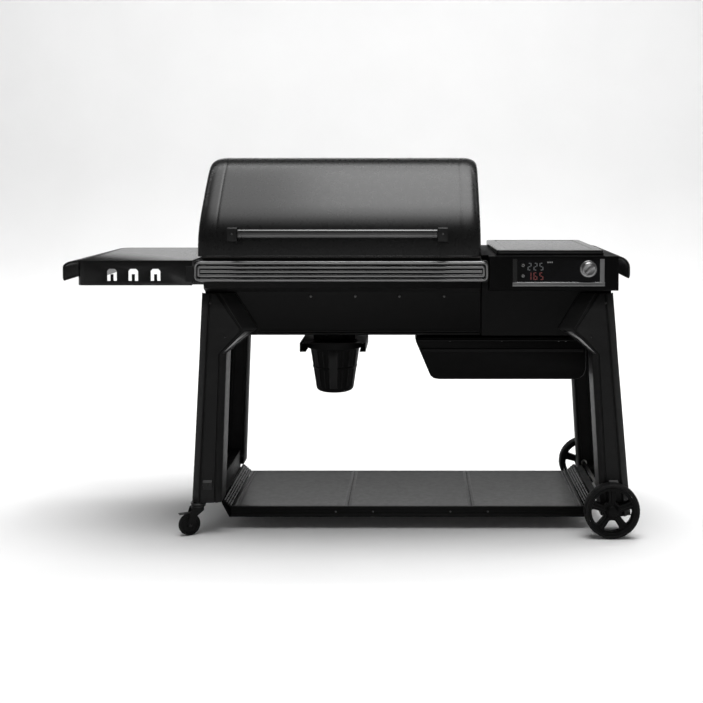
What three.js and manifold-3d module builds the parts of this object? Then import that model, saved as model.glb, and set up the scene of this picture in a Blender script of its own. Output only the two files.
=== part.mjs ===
// Pellet smoker grill: a pellet-fired cooking chamber with a hinged hood, a pellet hopper with its
// controller, a folding side shelf, and a wheeled stand with a bottom shelf.
//
// Units are millimetres, +Z is up, -Y is the front and +X is the user's right. The exported group's
// origin is on the floor, under the middle of the grill's bounding box. The pieces are laid out in the
// inner group "grill", whose X is 0 at the middle of the span between the two end handles.
import * as THREE from "three";
import { mergeVertices } from "three/addons/utils/BufferGeometryUtils.js";
import { ConvexGeometry } from "three/addons/geometries/ConvexGeometry.js";
import Module from "manifold-3d";

const wasm = await Module();
wasm.setup();

// ---------------------------------------------------------------- driving dimensions (mm)
const SHIFT_X = -17.35; // moves the layout so that the origin is at the box's middle
const SHIFT_Y = 20;
const SHEET = 1.5; // sheet metal
const GAP = 0.3; // between pieces that touch

const FACE_Y = -262; // front face of the front legs
const LEG_BACK_Y = -172; // free edge of the front legs' side flanges
const PANEL_Y = -235; // front face of the cooking chamber and of the hopper casing
const FASCIA_Y = -285; // front face of the controller housing and of the side shelf

const BARREL = { x0: -455, x1: 423, rim: 893, floor: 640, sump: 622, back: 235 };
const HOOD = { x0: -472, x1: 423.5, bottom: 897, top: 1212, ends: 20 };
const HOOD_PROFILE = [
  // outline of the hood's side, from the front lower edge over the top to the back lower edge
  [-285, 897], [-284.4, 930], [-279, 960], [-267, 990], [-248, 1018], [-224, 1046], [-194, 1079],
  [-162, 1112], [-128, 1143], [-95, 1168], [-60, 1187], [-20, 1201], [25, 1209], [75, 1212],
  [120, 1211], [160, 1203], [195, 1184], [222, 1156], [242, 1115], [255, 1060], [262, 990], [265, 897],
];
const HOOD_HINGE = { y: 275, z: 900, r: 5 };

const HANDLE = { x0: -365, x1: 316, y: -327, z: 972, r: 14, post: 30 };
const RAIL = { x0: -478, x1: 445, y0: -300, y1: FACE_Y - GAP, z0: 817.6, z1: 885, r: 14 };

const HOPPER = { x0: 428, x1: 856, waist: 842, y0: PANEL_Y, y1: 222, z0: 640, head: 788, deck: 898 };
const HOPPER_LID = { x0: 474, x1: 812, y0: -270, y1: 224, z0: 899, z1: 917 };
const HOPPER_HINGE = { y: 231, z: 906, r: 4 };
const FASCIA = { x0: 448, x1: 856, z0: 789, z1: 898 };
const GLASS = { x0: 537, x1: 796, z0: 817.6, z1: 887 };
const KNOB = { x: 760, z: 858.6, r: 26, depth: 20 };
const BUTTONS = { x: 554.7, upper: 869.7, lower: 836.5, r: 7 };

const AUGER = { y: 0, z: 690, r: 27, tube: 35, x0: 98, x1: 716, pitch: 44 };
const UNDER = { x0: 215, x1: 777, y0: -150, y1: 150, z0: 481, z1: 619 };
const FAN = { x: 560, y: 0, z: 545, r: 55 };

const KEG = { x: -55, y: -60, top: 600, bottom: 428, collar: 96, r0: 83, r1: 63 };

const SHELF = { x0: -850, x1: -486, y0: FASCIA_Y, y1: 268, z0: 806.5, z1: 885.5, r: 25 };
const SHELF_PIVOT = { x: -492, z: 815 };
const HOOKS = [-738, -671, -601];

const LEG_TOP = 778;
const LEFT = {
  foot: 106,
  outer: (z) => -464 - (790 - z) * 0.057,
  inner: (z) => -386 - (590 - z) * 0.0413,
};
const RIGHT = {
  foot: 62,
  outer: (z) => 846 + (790 - z) * 0.088,
  inner: (z) => 778 + (590 - z) * 0.0637,
};

const WHEEL = { x: 840, z: 88.7, r: 88.7, width: 34, y: -283 };
const AXLE = { r: 6, y: 303 };
const CASTER = { x: -482, y: 240, r: 34.5, width: 20, trail: 30, turn: 27, foot: 106 };

const BOTTOM = { x0: -382, x1: 766, y0: -203, y1: 203, top: 75, lip: 41, rim: 98, seams: [-4, 400] };

// ---------------------------------------------------------------- materials
const paint = (name, color, roughness, metalness) => {
  const m = new THREE.MeshStandardMaterial({ color, roughness, metalness });
  m.name = name;
  return m;
};
const BLACK = paint("black_powder_coat", 0x1a1a1a, 0.55, 0.2);
const HOODPAINT = paint("hood_powder_coat", 0x222222, 0.45, 0.25);
const RAILMETAL = paint("rail_anodised", 0x3a3a3a, 0.35, 0.7);
const SHELFTOP = paint("shelf_coating", 0x4a4a4a, 0.5, 0.3);
const STEEL = paint("bare_steel", 0x8a8a8a, 0.35, 0.9);
const ENAMEL = paint("enamelled_rod", 0x151515, 0.3, 0.2);
const PLASTIC = paint("black_plastic", 0x141414, 0.6, 0);
const GLASSY = paint("controller_glass", 0x060606, 0.08, 0);
const SILVER = paint("knob_metal", 0xa0a0a0, 0.3, 0.9);
const TYRE = paint("tyre_rubber", 0x101010, 0.85, 0);
const SEAL = paint("gasket_fibre", 0x2a2a28, 0.95, 0);

// ---------------------------------------------------------------- solids
// A closed three.js geometry as a manifold solid, for cutting and joining.
function solid(geometry) {
  let g = geometry.index ? geometry.toNonIndexed() : geometry.clone();
  g = new THREE.BufferGeometry().setAttribute("position", g.getAttribute("position"));
  g = mergeVertices(g, 1e-4);
  const made = new wasm.Manifold(
    new wasm.Mesh({
      numProp: 3,
      vertProperties: new Float32Array(g.attributes.position.array),
      triVerts: new Uint32Array(g.index.array),
    }),
  );
  if (made.volume() < 0) throw new Error("a solid is inside out");
  return made;
}
const box = (x0, y0, z0, x1, y1, z1) =>
  solid(
    new THREE.BoxGeometry(x1 - x0, y1 - y0, z1 - z0).translate(
      (x0 + x1) / 2,
      (y0 + y1) / 2,
      (z0 + z1) / 2,
    ),
  );
// A cylinder along one axis: a and b are its ends on that axis, p and q the other two coordinates.
function rod(axis, r, a, b, p, q, segments = 12, r2 = r) {
  const g = new THREE.CylinderGeometry(r2, r, b - a, segments); // along +Y, r2 at the +Y end
  if (axis === "y") g.translate(p, (a + b) / 2, q);
  if (axis === "x") g.rotateZ(-Math.PI / 2).translate((a + b) / 2, p, q);
  if (axis === "z") g.rotateX(Math.PI / 2).translate(p, q, (a + b) / 2);
  return solid(g);
}
const shapeOf = (points, holes = []) => {
  const s = new THREE.Shape(points.map((p) => new THREE.Vector2(p[0], p[1])));
  for (const h of holes) s.holes.push(new THREE.Path(h.map((p) => new THREE.Vector2(p[0], p[1]))));
  return s;
};
const extrude = (points, depth, holes) =>
  new THREE.ExtrudeGeometry(shapeOf(points, holes), { depth, bevelEnabled: false, steps: 1 });
// Prisms: the outline is in XY, XZ or YZ, and the prism runs along the third axis.
const prismZ = (points, z0, z1, holes) => solid(extrude(points, z1 - z0, holes).translate(0, 0, z0));
const prismY = (points, y0, y1, holes) =>
  solid(extrude(points, y1 - y0, holes).rotateX(Math.PI / 2).translate(0, y1, 0));
const prismX = (points, x0, x1, holes) =>
  solid(
    extrude(points, x1 - x0, holes)
      .applyMatrix4(new THREE.Matrix4().set(0, 0, 1, 0, 1, 0, 0, 0, 0, 1, 0, 0, 0, 0, 0, 1))
      .translate(x0, 0, 0),
  );
const hull = (points) => solid(new ConvexGeometry(points.map((p) => new THREE.Vector3(...p))));
// A body of revolution about Z: the profile is [radius, z], on the axis or closed on itself.
const turned = (profile, segments, x = 0, y = 0) =>
  solid(
    new THREE.LatheGeometry(profile.map((p) => new THREE.Vector2(p[0], p[1])), segments)
      .rotateX(Math.PI / 2)
      .translate(x, y, 0),
  );
const join = (...parts) => parts.reduce((a, b) => a.add(b));
const rounded = (x0, z0, x1, z1, r, n = 4, corners = [1, 1, 1, 1]) => {
  // a rectangle with rounded corners, counter-clockwise from the lower left
  const points = [];
  const at = [[x0 + r, z0 + r, Math.PI], [x1 - r, z0 + r, 1.5 * Math.PI], [x1 - r, z1 - r, 0], [x0 + r, z1 - r, Math.PI / 2]];
  const sharp = [[x0, z0], [x1, z0], [x1, z1], [x0, z1]];
  at.forEach(([cx, cz, a], i) => {
    if (!corners[i]) return points.push(sharp[i]);
    for (let k = 0; k <= n; k++) {
      const t = a + (k / n) * (Math.PI / 2);
      points.push([cx + r * Math.cos(t), cz + r * Math.sin(t)]);
    }
  });
  return points;
};
const circle = (r, n, cx = 0, cy = 0, turn = 0) =>
  Array.from({ length: n }, (_, i) => {
    const t = turn + (2 * Math.PI * i) / n;
    return [cx + r * Math.cos(t), cy + r * Math.sin(t)];
  });

// A mesh from a solid, in the frame of its group.
function piece(parent, name, made, material) {
  const m = made.getMesh();
  const v = new Float32Array(m.numVert * 3);
  for (let i = 0; i < m.numVert; i++)
    for (let k = 0; k < 3; k++) v[3 * i + k] = m.vertProperties[i * m.numProp + k];
  const g = new THREE.BufferGeometry()
    .setAttribute("position", new THREE.BufferAttribute(v, 3))
    .setIndex(new THREE.BufferAttribute(new Uint32Array(m.triVerts), 1));
  g.computeVertexNormals();
  const mesh = new THREE.Mesh(g, material);
  mesh.name = name;
  parent.add(mesh);
  return mesh;
}
const group = (parent, x = 0, y = 0, z = 0) => {
  const g = new THREE.Group();
  g.position.set(x, y, z);
  parent.add(g);
  return g;
};

const root = new THREE.Group();
const grill = group(root, SHIFT_X, SHIFT_Y, 0);

// ================================================================ cooking chamber
{
  const b = BARREL, t = SHEET;
  const outline = [
    [FACE_Y, b.rim], [FACE_Y, 795], [PANEL_Y, 780], [PANEL_Y, b.floor + 12], [PANEL_Y + 12, b.floor],
    [-60, b.sump], [b.back - 12, b.floor], [b.back, b.floor + 12], [b.back, b.rim],
  ];
  const inside = [
    [FACE_Y + t, b.rim + 5], [FACE_Y + t, 797], [PANEL_Y + t, 782], [PANEL_Y + t, b.floor + 13.3],
    [PANEL_Y + 13.3, b.floor + t], [-60, b.sump + t], [b.back - 13.3, b.floor + t],
    [b.back - t, b.floor + 13.3], [b.back - t, b.rim + 5],
  ];
  let body = prismX(outline, b.x0, b.x1).subtract(prismX(inside, b.x0 + t, b.x1 - t));
  // rim flange all round, turned out at the front and back and in at the ends
  body = body.add(
    box(b.x0, -283, 888, b.x1, 262, b.rim).subtract(box(b.x0 + 15, FACE_Y + t, 880, b.x1 - 15, b.back - t, 900)),
  );
  // drain over the keg, way in for the auger tube, and smoke slots at the back
  body = body.subtract(rod("z", 30, 600, 660, KEG.x, KEG.y, 16));
  body = body.subtract(rod("x", AUGER.tube + 1, b.x1 - 10, b.x1 + 10, AUGER.y, AUGER.z, 16));
  for (const x of [-260, -100, 60]) body = body.subtract(box(x, b.back - 20, 826, x + 130, b.back + 20, 846));
  // ledges that the grates rest on
  body = body.add(box(b.x0 + t - 1, FACE_Y + 2, 808, b.x1 - t + 1, FACE_Y + 16, 811));
  body = body.add(box(b.x0 + t - 1, b.back - 16, 808, b.x1 - t + 1, b.back - 2, 811));
  piece(grill, "barrel_body", body, BLACK);
}

// fire pot, its igniter, the baffle over it and the drip tray
{
  const pot = box(-20, -52, 640, 92, 52, 724)
    .subtract(box(-17, -49, 643, 89, 49, 740))
    .subtract(rod("x", 30, 80, 100, AUGER.y, AUGER.z, 14))
    .subtract(rod("y", 6.5, 40, 60, 35, 660, 10));
  piece(grill, "firepot", pot, STEEL);
  piece(grill, "igniter_rod", rod("y", 5.5, 20, 150, 35, 660, 10), STEEL);
  const fold = [[-95, 738], [-92, 738], [-60, 768], [60, 768], [92, 738], [95, 738], [95, 741], [62, 771.5], [-62, 771.5], [-95, 741]];
  piece(grill, "heat_baffle", prismX(fold, -140, 210), STEEL);
  const tray = [
    [-215, 792], [-213.4, 792], [-213.4, 783.7], [-60, 774.7], [213.4, 783.7], [213.4, 792], [215, 792], [215, 782], [-60, 773], [-215, 782],
  ];
  piece(grill, "drip_tray", prismX(tray, -436, 404), STEEL);
}

// cooking grates: each is drawn as a flat grid of bars
function grate(name, x0, x1, y0, y1, z, bars, thick = 7) {
  const pitch = (x1 - x0 - 8) / bars;
  let made = box(x0, y0, z, x1, y1, z + thick);
  for (let i = 0; i < bars; i++) {
    const a = x0 + 4 + i * pitch + 3;
    for (const [p, q] of [[y0 + 8, (y0 + y1) / 2 - 4], [(y0 + y1) / 2 + 4, y1 - 8]])
      made = made.subtract(box(a, p, z - 1, a + pitch - 6, q, z + thick + 1));
  }
  piece(grill, name, made, ENAMEL);
}
grate("grate_left", -447, -17, -254, 228, 811.5, 12);
grate("grate_right", -14, 415, -254, 228, 811.5, 12);

// upper rack: a wire shelf welded to a leg frame at each end, standing on the main grates' ledges
{
  const x0 = -425, x1 = 393, y0 = -70, y1 = 190, z = 985;
  let rack = box(x0, y0, z, x1, y1, z + 7);
  for (let i = 0; i < 20; i++) {
    const a = x0 + 7 + (i * (x1 - x0 - 8)) / 20;
    for (const [p, q] of [[y0 + 8, 56], [64, y1 - 8]]) rack = rack.subtract(box(a, p, z - 1, a + 34, q, z + 8));
  }
  for (const x of [x0, x1 - 8])
    rack = rack.add(box(x, -44, 819, x + 8, 164, z + 1).subtract(box(x - 1, -36, 827, x + 9, 156, z - 8)));
  piece(grill, "upper_rack", rack, ENAMEL);
}
piece(grill, "temperature_probe", rod("x", 4, -451.5, -372, 110, 868, 10), STEEL);

// smoke exhaust duct on the back, open downwards
{
  const o = [[BARREL.back + GAP, 864], [275, 864], [302, 838], [302, 668], [BARREL.back + GAP, 668]];
  const i = [[BARREL.back - 5, 861], [273.5, 861], [299, 836.5], [299, 660], [BARREL.back - 5, 660]];
  const duct = prismX(o, -290, 290).subtract(prismX(i, -287, 287));
  piece(grill, "exhaust_duct", duct, BLACK);
}

// ================================================================ hood
const hoodPoints = (inset, bottom, x0, x1, rounding) => {
  // the hood's outline drawn in by inset, with ends that round over by `rounding`
  const c = [0, 1010];
  const points = [];
  const rings = rounding
    ? [[0, rounding], [rounding * 0.29, rounding * 0.29], [rounding, 0]]
    : [[0, 0]];
  for (const [dx, shrink] of rings)
    for (const side of [0, 1])
      for (const [y, z] of HOOD_PROFILE) {
        const low = z < 905;
        const d = Math.hypot(y - c[0], z - c[1]);
        const k = (inset + (low ? 0 : shrink)) / d;
        let yy = y - (y - c[0]) * k, zz = z - (z - c[1]) * k;
        if (low) { yy = y - Math.sign(y) * inset; zz = bottom; }
        points.push([side ? x1 - dx : x0 + dx, yy, zz]);
      }
  return points;
};
const hood = group(grill);
{
  let shell = hull(hoodPoints(0, HOOD.bottom, HOOD.x0, HOOD.x1, HOOD.ends));
  shell = shell.subtract(hull(hoodPoints(SHEET, HOOD.bottom - 20, HOOD.x0 + SHEET, HOOD.x1 - SHEET, HOOD.ends)));
  // hinge ears on the back lower edge
  for (const x of [-330, 262]) {
    const ear = hull([
      ...circle(9.3, 10, HOOD_HINGE.y, HOOD_HINGE.z).flatMap(([y, z]) => [[x, y, z], [x + 22, y, z]]),
      [x, 264, 920], [x + 22, 264, 920], [x, 264, 899], [x + 22, 264, 899],
    ]).subtract(rod("x", HOOD_HINGE.r + 0.6, x - 1, x + 30, HOOD_HINGE.y, HOOD_HINGE.z, 12));
    shell = shell.add(ear);
  }
  piece(hood, "hood_shell", shell, HOODPAINT);
  // handle: a round bar between two end posts
  const clear = hull(hoodPoints(-0.4, HOOD.bottom, HOOD.x0, HOOD.x1, 0));
  const h = HANDLE;
  const post = (x0) =>
    hull([
      ...rounded(h.y - 16, h.z - 24, h.y + 16, h.z + 20, 8, 3).flatMap(([y, z]) => [[x0, y, z], [x0 + h.post, y, z]]),
      [x0 + 2, -262, h.z + 14], [x0 + h.post - 2, -262, h.z + 14], [x0 + 2, -262, h.z - 20], [x0 + h.post - 2, -262, h.z - 20],
    ]).subtract(clear);
  piece(hood, "handle_post_left", post(h.x0), PLASTIC);
  piece(hood, "handle_post_right", post(h.x1 - h.post), PLASTIC);
  piece(hood, "hood_handle_bar", rod("x", h.r, h.x0 + h.post + GAP, h.x1 - h.post - GAP, h.y, h.z, 16), RAILMETAL);
}
// rope gasket on the rim, and the hinge rod that the hood's ears turn on
piece(
  grill,
  "hood_gasket",
  box(-453, -281, 893.3, 421, 260, 896.7).subtract(box(-441, -264, 890, 409, 246, 900)),
  SEAL,
);
{
  let hinge = rod("x", HOOD_HINGE.r, -420, 390, HOOD_HINGE.y, HOOD_HINGE.z, 12);
  for (const x of [-412, -270, 210, 350])
    hinge = hinge.add(box(x, 262.4, 868, x + 26, 281, 896).subtract(box(x - 1, 250, 868, x + 30, 266, 884)));
  piece(grill, "hood_hinge_rod", hinge, STEEL);
}

// ================================================================ accessory rail
{
  const r = RAIL;
  const profile = [[r.y1, r.z0], [r.y1, r.z1]].reverse(); // back edge, top to bottom, then forward
  const ribs = 5, pitch = (r.z1 - r.z0) / ribs, deep = 5;
  const front = [];
  for (let i = 0; i < ribs; i++) {
    const z = r.z0 + i * pitch;
    front.push([r.y0 + deep, z + (i ? 0 : 0)], [r.y0, z + 3.4], [r.y0, z + pitch - 3.4], [r.y0 + deep, z + pitch]);
  }
  const outline = [...profile, ...front.filter((p, i) => i === 0 || p[1] !== front[i - 1][1] || p[0] !== front[i - 1][0])];
  let rail = prismX(outline.reverse(), r.x0, r.x1);
  rail = rail.intersect(prismY(rounded(r.x0, r.z0, r.x1, r.z1, r.r, 4), r.y0 - 1, r.y1 + 1));
  rail = rail.subtract(box(r.x0 + 8, r.y0 + deep + 3, r.z0 + 4, r.x1 - 8, r.y1 + 5, r.z1 - 4)); // open at the back
  piece(grill, "front_rail", rail, RAILMETAL);
}

// ================================================================ hopper
{
  const h = HOPPER, t = SHEET;
  // a body that is narrower below the controller, under a full-width head
  let casing = box(h.x0, h.y0, h.z0, h.waist, h.y1, h.head + t)
    .add(box(h.x0, h.y0, h.head, h.x1, h.y1, h.deck))
    .subtract(box(h.x0 + t, h.y0 + t, h.z0 + t, h.waist - t, h.y1 - t, h.head + 2 * t))
    .subtract(box(h.x0 + t, h.y0 + t, h.head + t, h.x1 - t, h.y1 - t, h.deck - t))
    .subtract(box(494, -200, h.deck - 10, 792, 196, h.deck + 10))
    .subtract(rod("x", AUGER.tube + 1, h.x0 - 5, h.x0 + 10, AUGER.y, AUGER.z, 16))
    .subtract(box(508, h.y1 - 10, 664, 628, h.y1 + 5, 716)) // clean-out hole
    .subtract(box(784, h.y1 - 10, 692, 816, h.y1 + 5, 716)) // power inlet hole
    .subtract(box(500, -60, h.z0 - 5, 620, 60, h.z0 + 10)); // air way down to the fan
  piece(grill, "hopper_casing", casing, BLACK);
  // pellet bin: a funnel from the deck opening down to the auger's inlet
  const bin = hull([
    ...[[497, -197], [789, -197], [789, 193], [497, 193]].map(([x, y]) => [x, y, h.deck + 0.5]),
    ...[[497, -197], [789, -197], [789, 193], [497, 193]].map(([x, y]) => [x, y, 840]),
    ...[[610, -26], [690, -26], [690, 26], [610, 26]].map(([x, y]) => [x, y, 728]),
  ]).subtract(
    hull([
      ...[[499, -195], [787, -195], [787, 191], [499, 191]].map(([x, y]) => [x, y, h.deck + 20]),
      ...[[499, -195], [787, -195], [787, 191], [499, 191]].map(([x, y]) => [x, y, 841]),
      ...[[612.5, -23], [687.5, -23], [687.5, 23], [612.5, 23]].map(([x, y]) => [x, y, 720]),
    ]),
  );
  piece(grill, "pellet_bin", bin, STEEL);
  // lid, a shallow inverted tray with a round front edge
  const l = HOPPER_LID;
  const lid = group(grill);
  const outer = prismZ(rounded(l.x0, l.y0, l.x1, l.y1, 10, 3), l.z0, l.z1);
  const inner = prismZ(rounded(l.x0 + t, l.y0 + t, l.x1 - t, l.y1 - t, 7, 3), l.z0 - 1, l.z1 - t);
  let tray = outer.subtract(inner);
  for (const x of [556, 752]) {
    const ear = hull([
      ...circle(8, 10, HOPPER_HINGE.y, HOPPER_HINGE.z).flatMap(([y, z]) => [[x, y, z], [x + 18, y, z]]),
      ...[[l.y1 - 1, l.z0], [l.y1 - 1, l.z1 - 2]].flatMap(([y, z]) => [[x, y, z], [x + 18, y, z]]),
    ]).subtract(rod("x", HOPPER_HINGE.r + 0.6, x - 1, x + 19, HOPPER_HINGE.y, HOPPER_HINGE.z, 10));
    tray = tray.add(ear);
  }
  piece(lid, "hopper_lid", tray, BLACK);
  let hinge = rod("x", HOPPER_HINGE.r, 520, 822, HOPPER_HINGE.y, HOPPER_HINGE.z, 10);
  for (const x of [524, 640, 690, 806]) hinge = hinge.add(box(x, h.y1 + GAP, 880, x + 12, 236, 897).add(box(x, 227, 890, x + 12, 235, 906)));
  piece(grill, "hopper_hinge_rod", hinge, STEEL);
  // controller housing in front of the casing: a shallow box, open at the back
  const f = FASCIA;
  let fascia = box(f.x0, FASCIA_Y, f.z0, f.x1, h.y0 - GAP, f.z1)
    .subtract(box(f.x0 + t, FASCIA_Y + t, f.z0 + t, f.x1 - t, h.y0 + 5, f.z1 - t))
    .subtract(prismY(rounded(GLASS.x0 - 0.4, GLASS.z0 - 0.4, GLASS.x1 + 0.4, GLASS.z1 + 0.4, 4, 2), FASCIA_Y - 1, FASCIA_Y + 10));
  // chamfer along the lower front edge
  fascia = fascia.subtract(hull([[f.x0 - 1, FASCIA_Y - 1, f.z0 - 1], [f.x1 + 1, FASCIA_Y - 1, f.z0 - 1], [f.x0 - 1, FASCIA_Y - 1, f.z0 + 2.2], [f.x1 + 1, FASCIA_Y - 1, f.z0 + 2.2], [f.x0 - 1, FASCIA_Y + 2.2, f.z0 - 1], [f.x1 + 1, FASCIA_Y + 2.2, f.z0 - 1]]));
  piece(grill, "controller_housing", fascia, BLACK);
  let glass = prismY(rounded(GLASS.x0, GLASS.z0, GLASS.x1, GLASS.z1, 4, 2), FASCIA_Y + 1.5, FASCIA_Y + 6);
  glass = glass
    .subtract(rod("y", 5.5, FASCIA_Y - 5, FASCIA_Y + 10, KNOB.x, KNOB.z, 12))
    .subtract(rod("y", BUTTONS.r + 0.6, FASCIA_Y - 5, FASCIA_Y + 10, BUTTONS.x, BUTTONS.upper, 16))
    .subtract(rod("y", BUTTONS.r + 0.6, FASCIA_Y - 5, FASCIA_Y + 10, BUTTONS.x, BUTTONS.lower, 16));
  piece(grill, "controller_glass", glass, GLASSY);
  // circuit board behind the glass, which the buttons and the knob's encoder act on
  piece(
    grill,
    "controller_board",
    box(GLASS.x0 - 6, FASCIA_Y + 17, GLASS.z0 - 6, GLASS.x1 + 6, FASCIA_Y + 20, GLASS.z1 + 4),
    PLASTIC,
  );
  // knob: skirted cap with a stem through the glass
  const knob = group(grill, KNOB.x, FASCIA_Y, KNOB.z);
  piece(
    knob,
    "control_knob",
    join(
      rod("y", KNOB.r, -5, 1, 0, 0, 28),
      rod("y", KNOB.r - 3, -KNOB.depth, -5, 0, 0, 28, KNOB.r - 1.5),
      rod("y", 4.8, 0, 15, 0, 0, 12),
      box(-1, -KNOB.depth - 1, KNOB.r - 14, 1, -KNOB.depth + 2, KNOB.r - 5),
    ),
    SILVER,
  );
  for (const [name, z] of [["upper_button", BUTTONS.upper], ["lower_button", BUTTONS.lower]]) {
    const b = group(grill, BUTTONS.x, FASCIA_Y, z);
    piece(b, name, join(rod("y", BUTTONS.r, -1, 8, 0, 0, 16), rod("y", BUTTONS.r + 3, 7, 11, 0, 0, 16)), PLASTIC);
  }
  // clean-out door at the back, turning on the pin along its upper edge, and the pin's two lugs' span
  const door = group(grill, 0, h.y1 + 5, 730);
  piece(
    door,
    "cleanout_door",
    join(box(500, -4.4, -72, 636, -1.4, -2), box(508, -4.4, -6, 628, 1.5, 1), rod("x", 3, 494, 642, 0, 0, 10)),
    BLACK,
  );
  piece(
    grill,
    "power_inlet",
    box(778, h.y1 + GAP, 686, 822, h.y1 + 5, 722)
      .add(box(785, h.y1 - 16, 693, 815, h.y1 + 2, 715))
      .subtract(box(789, h.y1 - 12, 697, 811, h.y1 + 10, 711)),
    PLASTIC,
  );
}

// auger: tube, screw and gear motor
{
  const a = AUGER;
  let tube = rod("x", a.tube, a.x0 - 2, a.x1 + 4, a.y, a.z, 16)
    .subtract(rod("x", a.tube - 3, a.x0 - 5, a.x1 + 8, a.y, a.z, 16))
    .subtract(box(614, -22, a.z + 10, 686, 22, a.z + 60));
  piece(grill, "auger_tube", tube, STEEL);
  // screw flight: a helical strip about the X axis
  const turns = (a.x1 - a.x0 - 30) / a.pitch, perTurn = 8;
  const n = Math.round(turns * perTurn);
  const position = [], index = [];
  for (let i = 0; i <= n; i++) {
    const t = (i / perTurn) * 2 * Math.PI, x = (i / perTurn) * a.pitch;
    for (const [r, w] of [[5, 1.5], [5, -1.5], [a.r, -1.5], [a.r, 1.5]])
      position.push(x + w, r * Math.cos(t), r * Math.sin(t));
    if (i < n) {
      const p = 4 * i, q = p + 4;
      for (let k = 0; k < 4; k++) {
        const l = (k + 1) % 4;
        index.push(p + k, p + l, q + l, p + k, q + l, q + k);
      }
    }
  }
  const e = 4 * n;
  index.push(0, 2, 1, 0, 3, 2, e, e + 1, e + 2, e, e + 2, e + 3);
  const strip = new THREE.BufferGeometry()
    .setAttribute("position", new THREE.Float32BufferAttribute(position, 3))
    .setIndex(index);
  let flight;
  try {
    flight = solid(strip);
  } catch (_) {
    for (let i = 0; i < index.length; i += 3) [index[i + 1], index[i + 2]] = [index[i + 2], index[i + 1]];
    flight = solid(strip.setIndex(index));
  }
  const screw = group(grill, a.x0 + 14, a.y, a.z);
  piece(screw, "auger_screw", flight.add(rod("x", 8, -6, a.x1 - a.x0 + 6, 0, 0, 10)), STEEL);
  piece(
    grill,
    "auger_motor",
    join(box(a.x1 + 8, -42, a.z - 36, a.x1 + 52, 42, a.z + 36), rod("x", 28, a.x1 + 40, a.x1 + 100, 0, a.z, 16)).subtract(
      rod("x", 9, a.x1, a.x1 + 24, 0, a.z, 12),
    ),
    BLACK,
  );
}

// fan: an open-topped scroll housing with a wheel of blades on an upright motor
{
  const f = FAN;
  const outer = circle(70, 20, f.x, f.y).map(([x, y]) => [x, y]);
  let scroll = prismZ(outer, f.z - 34, f.z + 34)
    .add(box(f.x - 150, f.y + 30, f.z - 34, f.x, f.y + 70, f.z + 34))
    .subtract(rod("z", 66, f.z - 31, f.z + 31, f.x, f.y, 20))
    .subtract(box(f.x - 160, f.y + 33, f.z - 31, f.x, f.y + 66, f.z + 31))
    .subtract(rod("z", 34, f.z + 20, f.z + 40, f.x, f.y, 16))
    .subtract(rod("z", 9, f.z - 40, f.z - 20, f.x, f.y, 12));
  piece(grill, "fan_housing", scroll, STEEL);
  const wheel = group(grill, f.x, f.y, f.z);
  let fan = rod("z", f.r, -26, -23, 0, 0, 20).add(rod("z", 10, -25, -8, 0, 0, 12));
  for (let i = 0; i < 10; i++) {
    const t = (i / 10) * 2 * Math.PI;
    fan = fan.add(
      solid(new THREE.BoxGeometry(20, 2, 46).translate(f.r - 11.5, 0, -1).rotateZ(t)),
    );
  }
  fan = fan.add(rod("z", 4, -36, -20, 0, 0, 8));
  piece(wheel, "fan_wheel", fan, PLASTIC);
  piece(grill, "fan_motor", rod("z", 24, f.z - 58, f.z - 37, f.x, f.y, 14), BLACK);
}

// underside housing: a pan that hangs below the chamber and the hopper
{
  const u = UNDER;
  const outline = [
    [u.x0, u.z1], [u.x0 + 3, u.z1 - 14], [u.x0 + 44, 508], [u.x0 + 51, 492], [u.x0 + 62, 484], [u.x0 + 78, u.z0],
    [u.x1 - 36, u.z0], [u.x1 - 18, 485], [u.x1 - 6, 496], [u.x1, 514], [u.x1, u.z1],
  ];
  const inside = [
    [u.x0 + 1.6, u.z1 + 5], [u.x0 + 4.5, u.z1 - 14], [u.x0 + 45.5, 508.6], [u.x0 + 52.3, 493.3], [u.x0 + 62.8, 485.6], [u.x0 + 78, u.z0 + 1.5],
    [u.x1 - 36.3, u.z0 + 1.5], [u.x1 - 19, 486.4], [u.x1 - 7.4, 497], [u.x1 - 1.5, 514.3], [u.x1 - 1.5, u.z1 + 5],
  ];
  // outline runs clockwise seen from the front, so it is reversed to face out
  let pan = prismY(outline.reverse(), u.y0, u.y1).subtract(prismY(inside.reverse(), u.y0 + 1.5, u.y1 - 1.5));
  pan = pan.add(
    box(u.x0 + 1, u.y0 - 7, 609, u.x1 - 1, u.y0 + 3, u.z1).subtract(box(u.x0 - 5, u.y0 - 4, 600, u.x1 + 5, u.y0 - 0.01, 616)),
  );
  pan = pan.add(hull([
    [u.x0 + 20, u.y0 + 1, 586], [u.x1 - 6, u.y0 + 1, 586], [u.x0 + 20, u.y0 - 5, 582], [u.x1 - 6, u.y0 - 5, 582],
    [u.x0 + 20, u.y0 - 5, 576], [u.x1 - 6, u.y0 - 5, 576], [u.x0 + 20, u.y0 + 1, 570], [u.x1 - 6, u.y0 + 1, 570],
  ]));
  piece(grill, "underside_housing", pan, BLACK);
}

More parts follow.
